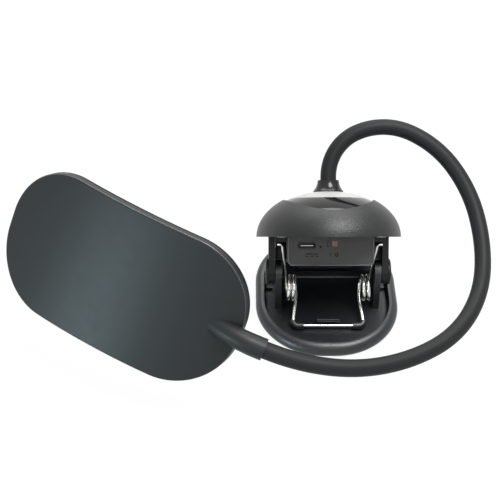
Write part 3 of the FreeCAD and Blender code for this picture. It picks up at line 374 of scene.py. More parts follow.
# Port shell's steel darkened to near black: painted shade of the recessed port opening.
PORT_SHADED_STEEL = metal("port_shaded_steel_finish", (0.035, 0.035, 0.037), 0.42, 0.004)
TONGUE_STEEL = metal("tongue_steel_finish", (0.62, 0.62, 0.63), 0.3, 0.003)
CONTACT_GOLD = metal("contact_gold_finish", (0.83, 0.62, 0.26), 0.25, 0.002)
ANCHOR_BRASS = metal("anchor_brass_finish", (0.62, 0.46, 0.20), 0.3, 0.006)

JAW_FINISHES = {
    "lower_jaw_shell": JAW_PLASTIC,
    "foot_pad": PAD_RUBBER,
    "lower_grip_pad": PAD_RUBBER,
    "spring_sleeves": SLEEVE_PLASTIC,
    "upper_jaw_shell": CLIP_PLASTIC,
    "upper_frame": TRAY_PLASTIC,
    "hinge_pins": TRAY_PLASTIC,
    "frame_screws": SCREW_STEEL,
    "upper_grip_pad": PAD_RUBBER,
    "top_panel": PANEL_GLOSS,
    "top_cap": CAP_WHITE,
    "battery_cell": CELL_WRAP,
    "neck_collar": COLLAR_PLASTIC,
    "neck_anchor": ANCHOR_BRASS,
}
PANEL_FINISHES = {
    "electronics_box": BOX_PLASTIC,
    "main_board": BOARD_LAMINATE,
    # The port shell wears steel darkened as painted shade of its recess.
    "usb_port": PORT_SHADED_STEEL,
    "usb_tongue": TONGUE_PLASTIC,
    "charge_light": LIGHT_CLEAR,
    "switch_body": SWITCH_PLASTIC,
    "switch_knob": KNOB_PLASTIC,
}
HEAD_FINISHES = {
    "head_back_cover": HEAD_PLASTIC,
    "head_front_frame": HEAD_RIM_PLASTIC,
    "head_diffuser": DIFFUSER_MILK,
    "led_board": LED_BOARD,
    "led_chips": LED_RESIN,
    "board_screws": SCREW_STEEL,
    "lead_connector": CONNECTOR_PLASTIC,
}


class Paintbox:
    """Materials made from finishes, each made once."""

    def __init__(self) -> None:
        """Builds the shared groups and starts empty."""
        self.groups = ShaderGroups()
        self.made: dict[str, bpy.types.Material] = {}

    def material(self, finish: Finish) -> bpy.types.Material:
        """The material of a finish."""
        if finish.name not in self.made:
            self.made[finish.name] = finish.material(self.groups)
        return self.made[finish.name]

    def dress(self, node: str, finish: Finish) -> None:
        """Gives a CAD node its finish."""
        shown = frame["nodes"][node]
        material = self.material(finish)
        if not shown.material_slots:
            shown.data.materials.append(material)
        for place in shown.material_slots:
            place.material = material
        LOG.info("dressed %s in %s", node, finish.name)


class GeometryTree:
    """Geometry Nodes tree with named inputs, run on one object at a time."""

    def __init__(self, name: str, source: str, inputs: Sequence[tuple[str, str]]) -> None:
        """Starts the tree.

        Args:
            name: Name of the tree.
            source: Name of the geometry input.
            inputs: Name and socket type of each further input.
        """
        self.tree = bpy.data.node_groups.new(name, "GeometryNodeTree")
        face = self.tree.interface
        face.new_socket(source, in_out="INPUT", socket_type="NodeSocketGeometry")
        self.sockets = {}
        for label, kind in (*inputs, ("Finish", "NodeSocketMaterial")):
            socket = face.new_socket(label, in_out="INPUT", socket_type=kind)
            self.sockets[label] = socket.identifier
        face.new_socket("Result", in_out="OUTPUT", socket_type="NodeSocketGeometry")
        self.sheet = NodeSheet(self.tree)
        self.given = self.sheet.add("NodeGroupInput")

    def close(self, shape: bpy.types.Node, out: str) -> None:
        """Ends the tree with smooth shading, realised instances and a material."""
        smooth = self.sheet.add("GeometryNodeSetShadeSmooth")
        real = self.sheet.add("GeometryNodeRealizeInstances")
        paint = self.sheet.add("GeometryNodeSetMaterial")
        put = self.sheet.add("NodeGroupOutput")
        self.sheet.link(shape, out, smooth, "Geometry")
        self.sheet.link(smooth, "Geometry", real, "Geometry")
        self.sheet.link(real, "Geometry", paint, "Geometry")
        self.sheet.link(self.given, "Finish", paint, "Material")
        self.sheet.link(paint, "Geometry", put, "Result")

    def run(self, name: str, mesh: bpy.types.Mesh, values: dict[str, object]) -> bpy.types.Object:
        """Runs the tree on a mesh and keeps the result as a plain mesh.

        Args:
            name: Name of the new piece.
            mesh: Mesh that feeds the geometry input.
            values: Value of each named input.

        Returns:
            The finished object, without a modifier.
        """
        piece = bpy.data.objects.new(name, mesh)
        bpy.context.scene.collection.objects.link(piece)
        modifier = piece.modifiers.new("shape", "NODES")
        modifier.node_group = self.tree
        for label, value in values.items():
            modifier[self.sockets[label]] = value
        graph = bpy.context.evaluated_depsgraph_get()
        result = bpy.data.meshes.new_from_object(piece.evaluated_get(graph))
        result.name = name
        piece.modifiers.remove(modifier)
        piece.data = result
        LOG.info("built %s with %d faces", name, len(result.polygons))
        return piece


class WireSweep(GeometryTree):
    """Tree that sweeps a round wire along a polyline and closes its ends."""

    def __init__(self) -> None:
        """Builds the tree."""
        super().__init__("wire_sweep", "Path", [("Radius", FLOAT), ("Sides", "NodeSocketInt")])
        curve = self.sheet.add("GeometryNodeMeshToCurve")
        ring = self.sheet.add("GeometryNodeCurvePrimitiveCircle")
        sweep = self.sheet.add("GeometryNodeCurveToMesh", {"Fill Caps": True})
        self.sheet.link(self.given, "Path", curve, "Mesh")
        self.sheet.link(self.given, "Radius", ring, "Radius")
        self.sheet.link(self.given, "Sides", ring, "Resolution")
        self.sheet.link(curve, "Curve", sweep, "Curve")
        self.sheet.link(ring, "Curve", sweep, "Profile Curve")
        self.close(sweep, "Mesh")

    def wire(
        self,
        name: str,
        paths: Sequence[Sequence[Vector]],
        radius: float,
        sides: int,
        material: bpy.types.Material,
        closed: bool = False,
    ) -> bpy.types.Object:
        """Sweeps a wire along each path, all in one piece.

        Args:
            name: Name of the piece.
            paths: Points of each path, in metres.
            radius: Wire radius, in metres.
            sides: Faces around the wire.
            material: Its material.
            closed: Whether each path runs back to its start.

        Returns:
            The finished piece.
        """
        points: list[Vector] = []
        edges: list[tuple[int, int]] = []
        for path in paths:
            first = len(points)
            points.extend(path)
            edges.extend((first + index, first + index + 1) for index in range(len(path) - 1))
            if closed:
                edges.append((len(points) - 1, first))
        mesh = bpy.data.meshes.new(name + "_path")
        mesh.from_pydata(points, edges, [])
        piece = self.run(name, mesh, {"Radius": radius, "Sides": sides, "Finish": material})
        self._sharpen_ends(piece.data, sides)
        return piece

    def _sharpen_ends(self, mesh: bpy.types.Mesh, sides: int) -> None:
        """Keeps the end caps flat, so that the side shades evenly up to them."""
        shape = bmesh.new()
        shape.from_mesh(mesh)
        for face in shape.faces:
            if len(face.verts) == sides:
                face.smooth = False
                for edge in face.edges:
                    edge.smooth = False
        bmesh.ops.recalc_face_normals(shape, faces=shape.faces)
        shape.to_mesh(mesh)
        shape.free()


class RowRepeat(GeometryTree):
    """Tree that repeats one item along a straight row."""

    def __init__(self) -> None:
        """Builds the tree."""
        super().__init__(
            "row_repeat", "Item", [("Count", "NodeSocketInt"), ("Step", "NodeSocketVector")]
        )
        line = self.sheet.add("GeometryNodeMeshLine", mode="OFFSET")
        copies = self.sheet.add("GeometryNodeInstanceOnPoints")
        self.sheet.link(self.given, "Count", line, "Count")
        self.sheet.link(self.given, "Step", line, "Offset")
        self.sheet.link(line, "Mesh", copies, "Points")
        self.sheet.link(self.given, "Item", copies, "Instance")
        self.close(copies, "Instances")

    def row(
        self,
        name: str,
        item: bpy.types.Mesh,
        count: int,
        step: Vector,
        material: bpy.types.Material,
    ) -> bpy.types.Object:
        """Repeats an item in a row.

        Args:
            name: Name of the piece.
            item: Mesh of the first item, in place.
            count: How many items.
            step: Way from one item to the next, in metres.
            material: Material of the row.

        Returns:
            The finished piece.
        """
        return self.run(name, item, {"Count": count, "Step": tuple(step), "Finish": material})


def rounded_boxes(name: str, places: Sequence[Matrix], rounding: float) -> bpy.types.Mesh:
    """Mesh of cubes put in their places and sizes, with edges rounded by so many metres."""
    item = bmesh.new()
    for place in places:
        bmesh.ops.create_cube(item, size=1.0, matrix=place)
    bmesh.ops.bevel(item, geom=list(item.edges), offset=rounding, segments=2, affect="EDGES")
    mesh = bpy.data.meshes.new(name)
    item.to_mesh(mesh)
    item.free()
    return mesh


@dataclass(frozen=True)
class UpperFrame:
    """Frame of the upper jaw, whose Z leaves the dome at its top."""

    tilt: float = -42.963
    origin: tuple[float, float, float] = (0.0, 7.2995, 37.1241)

    def matrix(self) -> Matrix:
        """Upper jaw's frame in the lamp's frame, in metres."""
        turn = Matrix.Rotation(math.radians(self.tilt), 4, "X")
        return Matrix.Translation(mm(*self.origin)) @ turn

    def at(self, x: float, y: float, z: float) -> Vector:
        """Point of the upper jaw, given in millimetres, in the lamp's frame."""
        return self.matrix() @ mm(x, y, z)


@dataclass(frozen=True)
class HeadFrame:
    """Frame of the head, whose X runs from the neck and whose Z leaves the back."""

    turn: tuple[float, float, float] = (-60.0265, -9.0012, 151.7823)
    origin: tuple[float, float, float] = (-44.5057, -69.0386, 47.6511)

    def at(self, x: float, y: float, z: float) -> Vector:
        """Point of the head, given in millimetres, in the lamp's frame."""
        turned = Euler([math.radians(angle) for angle in self.turn], "XYZ").to_matrix()
        return mm(*self.origin) + turned @ mm(x, y, z)


@dataclass
class Workshop:
    """Tools that every sub-assembly builds with."""

    paints: Paintbox = field(default_factory=Paintbox)
    wires: WireSweep = field(default_factory=WireSweep)
    rows: RowRepeat = field(default_factory=RowRepeat)
    upper: UpperFrame = field(default_factory=UpperFrame)

    def wire(
        self,
        name: str,
        paths: Sequence[Sequence[Vector]],
        radius: float,
        sides: int,
        finish: Finish,
        closed: bool = False,
    ) -> bpy.types.Object:
        """Sweeps a wire of a radius in millimetres along each path, in a finish."""
        material = self.paints.material(finish)
        return self.wires.wire(name, paths, radius * MM, sides, material, closed)

    def dress(self, finishes: Mapping[str, Finish]) -> None:
        """Gives each named CAD node its finish."""
        for node, finish in finishes.items():
            self.paints.dress(node, finish)


@dataclass
class ClipJaws:
    """Both jaws of the clip with their pads, pins, panel and inner parts, sizes in millimetres."""

    stop_half: float = 5.5
    stop_back: float = 21.85
    stop_foot: float = 5.7
    stop_top: float = 7.0
    stop_bead_radius: float = 0.22
    web_side: float = 23.95
    web_back: float = 2.4
    web_level: float = -4.95
    web_size: tuple[float, float, float] = (5.7, 1.2, 12.9)
    web_round: float = 0.2

    def build(self, shop: Workshop) -> None:
        """Dresses the jaws' CAD pieces, beads the bar's stop and hangs the webs."""
        shop.dress(JAW_FINISHES)
        self._stop_bead(shop)
        self._webs(shop)

    def _webs(self, shop: Workshop) -> None:
        """Hangs a web on each side of the electronics box, farther in than the spring's hooks."""
        place = Matrix.Translation(mm(-self.web_side, -self.web_back, self.web_level))
        shape = place @ Matrix.Diagonal((*mm(*self.web_size), 1.0))
        webs = shop.rows.row(
            "frame_webs",
            rounded_boxes("frame_webs_item", [shop.upper.matrix() @ shape], self.web_round * MM),
            2,
            mm(self.web_side * 2.0, 0.0, 0.0),
            shop.paints.material(TRAY_PLASTIC),
        )
        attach(webs, Body.UPPER_JAW.value)

    def _stop_bead(self, shop: Workshop) -> None:
        """Runs a thin, light bead round the face of the stop behind the spring's bar: a painted
        highlight on its edges.
        """
        corners = [
            (-self.stop_half, self.stop_foot),
            (-self.stop_half, self.stop_top),
            (self.stop_half, self.stop_top),
            (self.stop_half, self.stop_foot),
        ]
        path = [mm(x, -self.stop_back, z) for x, z in corners]
        bead = shop.wire(
            "stop_bead", [path], self.stop_bead_radius, BEAD_SIDES, HIGHLIGHT_BEAD_PLASTIC, closed=True
        )
        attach(bead, Body.LOWER_JAW.value)


@dataclass
class TorsionSpring:
    """Double torsion spring of one wire, sizes in millimetres."""

    wire_radius: float = 0.85
    coil_radius: float = 6.0
    coil_outside: float = 21.3
    coil_inside: float = 16.2
    coil_back: float = 9.4
    coil_level: float = 17.4
    coil_turns: int = 2
    leg_spread: float = 17.9
    leg_bend: float = 2.4
    bar_back: float = 24.1
    bar_level: float = 5.2
    hook_side: float = 23.5
    hook_back: float = 11.0
    hook_drop: float = 3.7
    hook_bend: float = 1.7
    hook_tip: float = 0.9
    sides: int = 20
    coil_steps: int = 60
    hold_share: float = 0.6

    def hook(self, shop: Workshop) -> Vector:
        """Where the hooks turn outwards, on the lamp's middle plane, in millimetres."""
        return shop.upper.at(0.0, -self.hook_back, -self.hook_drop) / MM

    def coil_angles(self, hook: Vector) -> tuple[float, float]:
        """Clockwise start angle of the coil under the hook, and its whole turn, in radians."""
        to_hook = Vector((0.0, hook.y + self.coil_back, hook.z - self.coil_level))
        start = math.atan2(-to_hook.z, to_hook.y) + math.acos(self.coil_radius / to_hook.length)
        to_bar = Vector((0.0, self.coil_back - self.bar_back, self.bar_level - self.coil_level))
        end = math.atan2(-to_bar.z, to_bar.y) - math.acos(self.coil_radius / to_bar.length)
        turn = (end - start) % (2.0 * math.pi)
        return start, turn + self.coil_turns * 2.0 * math.pi

    def coil_point(self, angle: float, share: float, side: int) -> Vector:
        """Point on one coil (side 1 or -1) at a clockwise angle, with a share of it wound."""
        across = self.coil_outside + (self.coil_inside - self.coil_outside) * share
        return Vector(
            (
                side * across,
                -self.coil_back + self.coil_radius * math.cos(angle),
                self.coil_level - self.coil_radius * math.sin(angle),
            )
        )

    @staticmethod
    def bend(
        before: Vector, corner: Vector, after: Vector, radius: float, steps: int = 8
    ) -> list[Vector]:
        """Points of the arc that rounds a corner.

        Args:
            before: A point on the way in.
            corner: The sharp corner.
            after: A point on the way out.
            radius: Radius of the arc.
            steps: Pieces that the arc is cut into.

        Returns:
            The points from the arc's start to its end.
        """
        back = (before - corner).normalized()
        ahead = (after - corner).normalized()
        half = back.angle(ahead) / 2.0
        centre = corner + (back + ahead).normalized() * (radius / math.sin(half))
        start = corner + back * (radius / math.tan(half)) - centre
        axis = start.cross(corner + ahead * (radius / math.tan(half)) - centre).normalized()
        turn = math.pi - 2.0 * half
        return [
            centre + Matrix.Rotation(turn * index / steps, 3, axis) @ start
            for index in range(steps + 1)
        ]

    @staticmethod
    def ease(
        start: Vector, start_way: Vector, end: Vector, end_way: Vector, steps: int = 14
    ) -> list[Vector]:
        """Inner points of a smooth curve between two points with set directions.

        Args:
            start: First point.
            start_way: Direction at the first point.
            end: Last point.
            end_way: Direction at the last point.
            steps: Pieces that the curve is cut into.

        Returns:
            The points between the two ends.
        """
        reach = (end - start).length
        points = []
        for index in range(1, steps):
            t = index / steps
            points.append(
                start * (2 * t**3 - 3 * t**2 + 1)
                + start_way.normalized() * reach * (t**3 - 2 * t**2 + t)
                + end * (3 * t**2 - 2 * t**3)
                + end_way.normalized() * reach * (t**3 - t**2)
            )
        return points

    def half_path(self, shop: Workshop, side: int) -> list[Vector]:
        """Points of one half of the spring, from the hook's tip to the bar's middle.

        Args:
            shop: The tools, with the upper jaw's frame.
            side: Plus or minus one, for the two halves.

        Returns:
            The points in millimetres.
        """
        hook = self.hook(shop)
        start, turn = self.coil_angles(hook)
        count = int(self.coil_steps * turn / (2.0 * math.pi))
        coil = [
            self.coil_point(start + turn * index / count, index / count, side)
            for index in range(count + 1)
        ]
        corner = Vector((side * self.hook_side, hook.y, hook.z))
        tip = corner + Vector((side * (self.hook_bend + self.hook_tip), 0.0, 0.0))
        into = self.bend(tip, corner, coil[0], self.hook_bend)
        bar_corner = Vector((side * self.leg_spread, -self.bar_back, self.bar_level))
        middle = Vector((0.0, -self.bar_back, self.bar_level))
        out = self.bend(coil[-1], bar_corner, middle, self.leg_bend)
        path = [tip, *into]
        path += self.ease(into[-1], coil[0] - corner, coil[0], coil[1] - coil[0])
        path += coil
        path += self.ease(coil[-1], coil[-1] - coil[-2], out[0], bar_corner - coil[-1])
        path += [*out, middle]
        return path

    def build(self, shop: Workshop) -> None:
        """Winds the wire from hook to hook and hides the CAD spring."""
        right = self.half_path(shop, 1)
        left = self.half_path(shop, -1)
        path = [point * MM for point in right + left[-2::-1]]
        wire = shop.wire("clip_spring_wire", [path], self.wire_radius, self.sides, SPRING_STEEL)
        hook = self.hook(shop)
        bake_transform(wire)
        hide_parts("clip_spring")


@dataclass
class ChargePanel:
    """Electronics box with its port, light, switch and plain marks, sizes in millimetres."""

    face: float = -18.0
    port_side: float = -11.7
    port_level: float = -4.3
    tongue_front: float = -16.6
    tongue_half: float = 0.35
    contact_count: int = 6
    contact_pitch: float = 0.9
    contact_size: tuple[float, float, float] = (0.4, 3.2, 0.06)
    contact_inset: float = 0.4
    contact_round: float = 0.02
    knob_side: float = -0.35
    knob_travel: float = 3.1
    knob_level: float = -3.5
    knob_face: float = -18.7
    ridge_pitch: float = 0.55
    ridge_radius: float = 0.16
    ridge_half: float = 0.8
    ridge_steps: int = 4
    mark_radius: float = 0.2
    mark_level: float = -8.4
    sign_side: float = -9.2
    sign_half: float = 3.0
    sign_parts: int = 5
    sign_drop: float = 1.2
    on_rise: float = 0.5
    on_drop: float = 1.1
    off_half: tuple[float, float] = (0.65, 0.8)
    off_drop: float = 0.3
    off_steps: int = 24
    half_width: float = 21.0
    drop: float = 14.0
    corner: float = 2.5
    bead_radius: float = 0.45
    bead_sink: float = 0.6
    bead_step: float = 0.25
    bead_steps: int = 40
    bow_steps: int = 10
    tongue_reach: float = 3.1
    tongue_steps: int = 6

    def build(self, shop: Workshop) -> None:
        """Dresses the box and adds its bead, contacts, tongue edge, knob ridges and marks."""
        shop.dress(PANEL_FINISHES)
        self._bead(shop)
        self._contacts(shop)
        self._tongue_edge(shop)
        self._ridges(shop)
        self._marks(shop)

    def _contacts(self, shop: Workshop) -> None:
        """Lays the port's contact strips along both faces of its tongue."""
        turned = shop.upper.matrix()
        first = self.port_side - self.contact_pitch * (self.contact_count - 1) / 2.0
        back = self.tongue_front + self.contact_inset + self.contact_size[1] / 2.0
        size = Matrix.Diagonal((*mm(*self.contact_size), 1.0))
        places = []
        for side in (-1.0, 1.0):
            centre = mm(first, back, self.port_level + side * self.tongue_half)
            places.append(turned @ (Matrix.Translation(centre) @ size))
        row = shop.rows.row(
            "port_contacts",
            rounded_boxes("port_contacts_item", places, self.contact_round * MM),
            self.contact_count,
            turned.to_3x3() @ mm(self.contact_pitch, 0.0, 0.0),
            shop.paints.material(CONTACT_GOLD),
        )
        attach(row, Body.UPPER_JAW.value)

    def _bead(self, shop: Workshop) -> None:
        """Runs a round, light bead down both sides of the box's face and along its foot, as a
        painted highlight on the box's edge.
        """
        inset = self.bead_radius * self.bead_sink
        side, foot, bow = self.half_width - inset, -self.drop + inset, self.corner - inset
        outline = [(-side, -level * self.bead_step) for level in range(1, self.bead_steps + 1)]
        for step in range(self.bow_steps + 1):
            turn = math.pi / 2 * step / self.bow_steps
            outline.append((-side + bow - bow * math.cos(turn), foot + bow - bow * math.sin(turn)))
        outline += [(-x, z) for x, z in reversed(outline)]
        path = self._stroke(shop, outline)
        bead = shop.wire("box_bead", [path], self.bead_radius, EDGE_SIDES, HIGHLIGHT_BEAD_PLASTIC)
        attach(bead, Body.UPPER_JAW.value)

    def _tongue_edge(self, shop: Workshop) -> None:
        """Lays the steel edge along the front of the port's tongue."""
        path = []
        for share in range(-self.tongue_steps, self.tongue_steps + 1):
            x = self.port_side + self.tongue_reach * share / self.tongue_steps
            path.append(shop.upper.at(x, self.tongue_front, self.port_level))
        edge = shop.wire("tongue_edge", [path], self.tongue_half, EDGE_SIDES, TONGUE_STEEL)
        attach(edge, Body.UPPER_JAW.value)

    def _ridges(self, shop: Workshop) -> None:
        """Adds three round finger ridges across the knob."""
        levels = [
            self.knob_level + self.ridge_half * share / self.ridge_steps
            for share in range(-self.ridge_steps, self.ridge_steps + 1)
        ]
        paths = []
        for index in (-1, 0, 1):
            x = self.knob_side + index * self.ridge_pitch
            paths.append([shop.upper.at(x, self.knob_face, level) for level in levels])
        ridges = shop.wire("knob_ridges", paths, self.ridge_radius, BEAD_SIDES, KNOB_PLASTIC)
        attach(ridges, Body.SWITCH.value)

    def _stroke(self, shop: Workshop, points: Sequence[tuple[float, float]]) -> list[Vector]:
        """Puts a stroke, given by the side and level of its points, on the box's face."""
        return [shop.upper.at(x, self.face, z) for x, z in points]

    def _marks(self, shop: Workshop) -> None:
        """Raises the plain direct-current sign by the port and I and O by the switch, near-black as
        painted shade of the embossing.
        """
        level, sign, on = self.mark_level, self.sign_side, self.knob_side
        left, right, below = sign - self.sign_half, sign + self.sign_half, level - self.sign_drop
        lines = [[(left, level), (sign, level), (right, level)]]
        dash = (right - left) / self.sign_parts
        for index in range(0, self.sign_parts, 2):
            start = left + dash * index
            lines.append([(start, below), (start + dash / 2, below), (start + dash, below)])
        lines.append([(on, level + self.on_rise), (on, level), (on, level - self.on_drop)])
        ring = []
        for index in range(self.off_steps + 1):
            angle = 2.0 * math.pi * index / self.off_steps
            x = on + self.knob_travel + self.off_half[0] * math.cos(angle)
            ring.append((x, level - self.off_drop + self.off_half[1] * math.sin(angle)))
        lines.append(ring)
        strokes = [self._stroke(shop, line) for line in lines]
        marks = shop.wire("panel_marks", strokes, self.mark_radius, MARK_SIDES, MARK_PAINTED_SHADE)
        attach(marks, Body.UPPER_JAW.value)


@dataclass
class Gooseneck:
    """Bendable neck in one sleeve, drawn as spans that lap in mid-length, sizes in millimetres."""

    radius: float = 4.0
    step: float = 27.9
    foot: float = 17.6
    collar_top: float = 28.5
    start: float = 30.5
    tail: float = 8.9
    bends: tuple[float, ...] = (66, 48, 31, 23, 16, 22, 24, 15, 18, 16)
    crosses: tuple[float, ...] = (-3, 2, 6, 11, 15, 12, 8, 7, 6, 5)
    rings: int = 24
    sides: int = 40
    lap: float = 0.15
    rise_steps: int = 10
    tail_steps: int = 4

    def length_points(self, index: int, base: Matrix) -> tuple[list[Vector], Matrix]:
        """Centre line of one bent length from the frame at its start, and the frame at its end."""
        bend, cross = self.bends[index], self.crosses[index]
        angle = math.hypot(bend, cross)
        axis = Vector((cross / angle, bend / angle, 0.0))
        reach = self.step / math.radians(angle) * MM
        centre = Vector((bend / angle * reach, -cross / angle * reach, 0.0))
        to_centre, from_centre = Matrix.Translation(centre), Matrix.Translation(-centre)
        points = []
        turn = Matrix.Identity(4)
        for ring in range(self.rings + 1):
            swing = Matrix.Rotation(math.radians(angle) * ring / self.rings, 4, axis)
            turn = to_centre @ swing @ from_centre
            points.append(base @ turn @ Vector((0.0, 0.0, 0.0)))
        return points, base @ turn

    def lengths(self, shop: Workshop) -> list[list[Vector]]:
        """Centre lines of all lengths, with the last one's tail."""
        base = shop.upper.matrix() @ Matrix.Translation(mm(0.0, 0.0, self.start))
        lines = []
        for index in range(len(self.bends)):
            points, base = self.length_points(index, base)
            lines.append(points)
        ahead = base.to_3x3() @ Vector((0.0, 0.0, 1.0))
        lines[-1] += [
            lines[-1][-1] + ahead * self.tail * MM * share / self.tail_steps
            for share in range(1, self.tail_steps + 1)
        ]
        return lines

    def lap_point(self, line: Sequence[Vector], side: int) -> Vector:
        """Point just past a length's middle, towards the head (1) or the clip (-1)."""
        half = self.rings // 2
        ahead = (line[half + 1] - line[half - 1]).normalized()
        return line[half] + ahead * (side * self.lap * MM)

    def build(self, shop: Workshop) -> None:
        """Builds one sleeve span over each joint and hides the CAD neck pieces it covers."""
        lines = self.lengths(shop)
        last = len(lines)
        half = self.rings // 2
        rise = [
            shop.upper.at(0.0, 0.0, self.foot + (self.start - self.foot) * share / self.rise_steps)
            for share in range(self.rise_steps)
        ]
        bodies = [Body.UPPER_JAW.value]
        bodies += ["neck_%02d" % (index + 1) for index in range(last - 1)] + [Body.HEAD.value]
        for index, line in enumerate(lines):
            before, begin = rise, shop.upper.at(0.0, 0.0, self.collar_top)
            if index > 0:
                begin = lines[index - 1][half]
                before = [self.lap_point(lines[index - 1], -1)]
                before += lines[index - 1][half : self.rings]
            after = line[: half + 1] + [self.lap_point(line, 1)] if index < last - 1 else line
            name = "neck_sleeve_%02d" % (index + 1)
            span = shop.wire(name, [before + after], self.radius, self.sides, NECK_RUBBER)
            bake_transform(span)
            nodes = ["neck_segment_%02d" % (index + 1)] + (["neck_stub"] if index == 0 else [])
            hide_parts(*nodes)


@dataclass
class LampHead:
    """Arched light head with its boards, sizes in millimetres."""

    frame: HeadFrame = field(default_factory=HeadFrame)
    half_length: float = 61.75
    half_width: float = 35.0
    corner: float = 31.15
    arch: float = 9.3
    edge_inset: float = 0.42
    edge_radius: float = 0.3
    edge_steps: int = 32
    socket_half: float = 4.6

    def build(self, shop: Workshop) -> None:
        """Dresses the head's CAD pieces and beads the edge of its back."""
        shop.dress(HEAD_FINISHES)
        self._edge(shop)

    def _outline(self) -> list[tuple[float, float]]:
        """Line just inside the head's outline, from its middle, that starts at the neck's end."""
        bow = self.corner - self.edge_inset
        along, across = self.half_length - self.corner, self.half_width - self.corner
        line: list[tuple[float, float]] = []
        for side in (1.0, -1.0):
            for end, first in ((-side, QUARTER_TURN * (1.0 + side)), (side, QUARTER_TURN * side)):
                for step in range(self.edge_steps + 1):
                    turn = math.radians(first - QUARTER_TURN * step / self.edge_steps)
                    x, y = bow * math.cos(turn), bow * math.sin(turn)
                    line.append((end * along + x, side * across + y))
                if end == -side:
                    for step in range(1, self.edge_steps):
                        share = step / self.edge_steps * 2.0 - 1.0
                        line.append((side * share * along, side * (across + bow)))
        return line

    def _edge(self, shop: Workshop) -> None:
        """Runs a fine, light, glossy bead round the edge of the back, from one side of the socket
        to the other: the edge's lip with a painted highlight.
        """
        bend = (self.half_length**2 + self.arch**2) / (2.0 * self.arch)
        path = []
        for x, y in self._outline():
            if x > 0.0 or abs(y) > self.socket_half:
                z = self.arch - bend + math.sqrt((bend - self.edge_inset) ** 2 - x * x)
                path.append(self.frame.at(self.half_length + x, y, z))
        edge = shop.wire("head_edge", [path], self.edge_radius, BEAD_SIDES, EDGE_HIGHLIGHT_GLOSS)
        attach(edge, Body.HEAD.value)


@dataclass(frozen=True)
class SoftBox:
    """One large soft light, sizes in metres."""

    name: str
    place: tuple[float, float, float]
    aim: tuple[float, float, float]
    size: tuple[float, float]
    power: float
    color: tuple[float, float, float] = (1.0, 1.0, 1.0)

    def build(self) -> None:
        """Hangs the light and turns it to its aim."""
        lamp = bpy.data.lights.new(self.name, "AREA")
        lamp.shape = "RECTANGLE"
        lamp.size, lamp.size_y = self.size
        lamp.energy = self.power
        lamp.color = self.color
        hung = bpy.data.objects.new(self.name, lamp)
        hung.location = self.place
        way = Vector(self.aim) - Vector(self.place)
        hung.rotation_euler = way.to_track_quat("-Z", "Y").to_euler()
        bpy.context.scene.collection.objects.link(hung)
        LOG.info("hung %s", self.name)


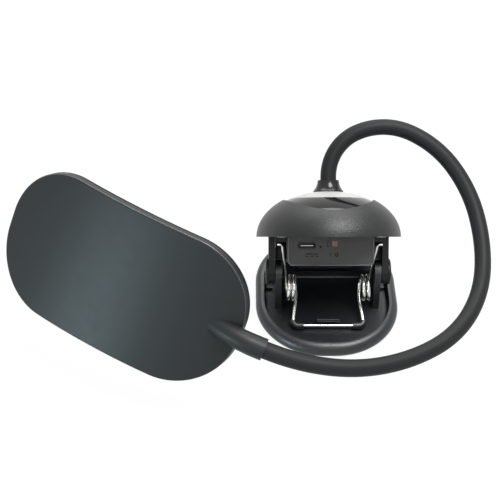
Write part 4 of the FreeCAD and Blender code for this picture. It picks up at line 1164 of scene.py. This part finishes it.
@dataclass
class Studio:
    """White sweep, soft lights and the camera."""

    camera_place: tuple[float, float, float] = (-0.0395, -0.3769, 0.3956)
    camera_drop: float = 43.7437
    lens: float = 74.88
    floor_reach: float = 1.6
    cove_radius: float = 0.5
    floor_white: float = 0.86
    cove_steps: int = 12
    white_share: float = 0.94
    ambient: float = 0.35
    sensor: float = 36.0
    near: float = 0.01
    lights: tuple[SoftBox, ...] = (
        SoftBox("top_light", (0.24, -0.04, 0.95), (0.0, 0.0, 0.05), (0.55, 0.4), 13.0),
        SoftBox("back_light", (0.0, 0.85, 0.85), (0.0, 0.0, 0.05), (1.2, 0.5), 9.0),
        SoftBox("front_light", (0.1, -0.8, 0.75), (0.0, 0.0, 0.05), (0.6, 0.3), 1.5),
        SoftBox(
            "left_light",
            (-0.76, -0.62, 0.08),
            (-0.1, -0.05, 0.06),
            (0.28, 0.3),
            5.0,
            (0.74, 1.0, 1.1),
        ),
    )

    def build(self) -> None:
        """Sets up the whole studio."""
        self._sweep()
        for light in self.lights:
            light.build()
        self._world()
        self._camera()

    def _seen(self, sheet: NodeSheet) -> bpy.types.Node:
        """Node that puts out a mask of the rays that should see plain white."""
        path = sheet.add("ShaderNodeLightPath")
        mirror = sheet.add("ShaderNodeMath", operation="MAXIMUM")
        seen = sheet.add("ShaderNodeMath", operation="MAXIMUM")
        sheet.link(path, "Is Glossy Ray", mirror, 0)
        sheet.link(path, "Is Transmission Ray", mirror, 1)
        sheet.link(path, "Is Camera Ray", seen, 0)
        sheet.link(mirror, 0, seen, 1)
        return seen

    def _sweep(self) -> None:
        """Lays the floor and curves it up behind."""
        reach, bow = self.floor_reach, self.cove_radius
        profile = [(-reach, 0.0), (reach - bow, 0.0)]
        for index in range(1, self.cove_steps + 1):
            angle = math.pi / 2.0 * index / self.cove_steps
            profile.append((reach - bow + bow * math.sin(angle), bow - bow * math.cos(angle)))
        profile.append((reach, reach))
        points = [(side * reach, y, z) for y, z in profile for side in (-1.0, 1.0)]
        starts = range(0, len(points) - 2, 2)
        faces = [(first, first + 1, first + 3, first + 2) for first in starts]
        mesh = bpy.data.meshes.new("studio_sweep")
        mesh.from_pydata(points, [], faces)
        mesh.shade_smooth()
        sweep = bpy.data.objects.new("studio_sweep", mesh)
        bpy.context.scene.collection.objects.link(sweep)
        paint = bpy.data.materials.new("studio_white")
        sheet, out = fresh_sheet(paint, "ShaderNodeOutputMaterial")
        matte = sheet.add("ShaderNodeBsdfDiffuse", {"Color": (*[self.floor_white] * 3, 1.0)})
        glow = sheet.add("ShaderNodeEmission", {"Strength": 1.0})
        share = sheet.add("ShaderNodeMath", {1: self.white_share}, operation="MULTIPLY")
        mix = sheet.add("ShaderNodeMixShader")
        sheet.link(self._seen(sheet), 0, share, 0)
        sheet.link(share, 0, mix, "Fac")
        sheet.link(matte, "BSDF", mix, 1)
        sheet.link(glow, "Emission", mix, 2)
        sheet.link(mix, "Shader", out, "Surface")
        mesh.materials.append(paint)
        LOG.info("laid studio_sweep")

    def _world(self) -> None:
        """White world for the eye, softer for light."""
        world = bpy.data.worlds.new("studio_world")
        bpy.context.scene.world = world
        sheet, out = fresh_sheet(world, "ShaderNodeOutputWorld")
        soft = sheet.add("ShaderNodeBackground", {"Color": WHITE, "Strength": self.ambient})
        white = sheet.add("ShaderNodeBackground", {"Color": WHITE, "Strength": 1.0})
        mix = sheet.add("ShaderNodeMixShader")
        sheet.link(self._seen(sheet), 0, mix, "Fac")
        sheet.link(soft, "Background", mix, 1)
        sheet.link(white, "Background", mix, 2)
        sheet.link(mix, "Shader", out, "Surface")

    def _camera(self) -> None:
        """Places the camera as the photo has it."""
        lens = bpy.data.cameras.new("photo_camera")
        lens.sensor_fit = "HORIZONTAL"
        lens.sensor_width = self.sensor
        lens.lens = self.lens
        lens.clip_start = self.near
        camera = bpy.data.objects.new("photo_camera", lens)
        camera.location = self.camera_place
        camera.rotation_euler = (math.radians(QUARTER_TURN - self.camera_drop), 0.0, 0.0)
        bpy.context.scene.collection.objects.link(camera)
        bpy.context.scene.camera = camera
        bpy.context.scene.view_settings.view_transform = "Standard"


def main() -> None:
    """Builds every sub-assembly and the studio, in order."""
    logging.basicConfig(level=logging.INFO, format="%(name)s %(message)s")
    shop = Workshop()
    for assembly in (ClipJaws(), TorsionSpring(), ChargePanel(), Gooseneck(), LampHead()):
        assembly.build(shop)
    Studio().build()


if __name__ == "__main__":
    main()
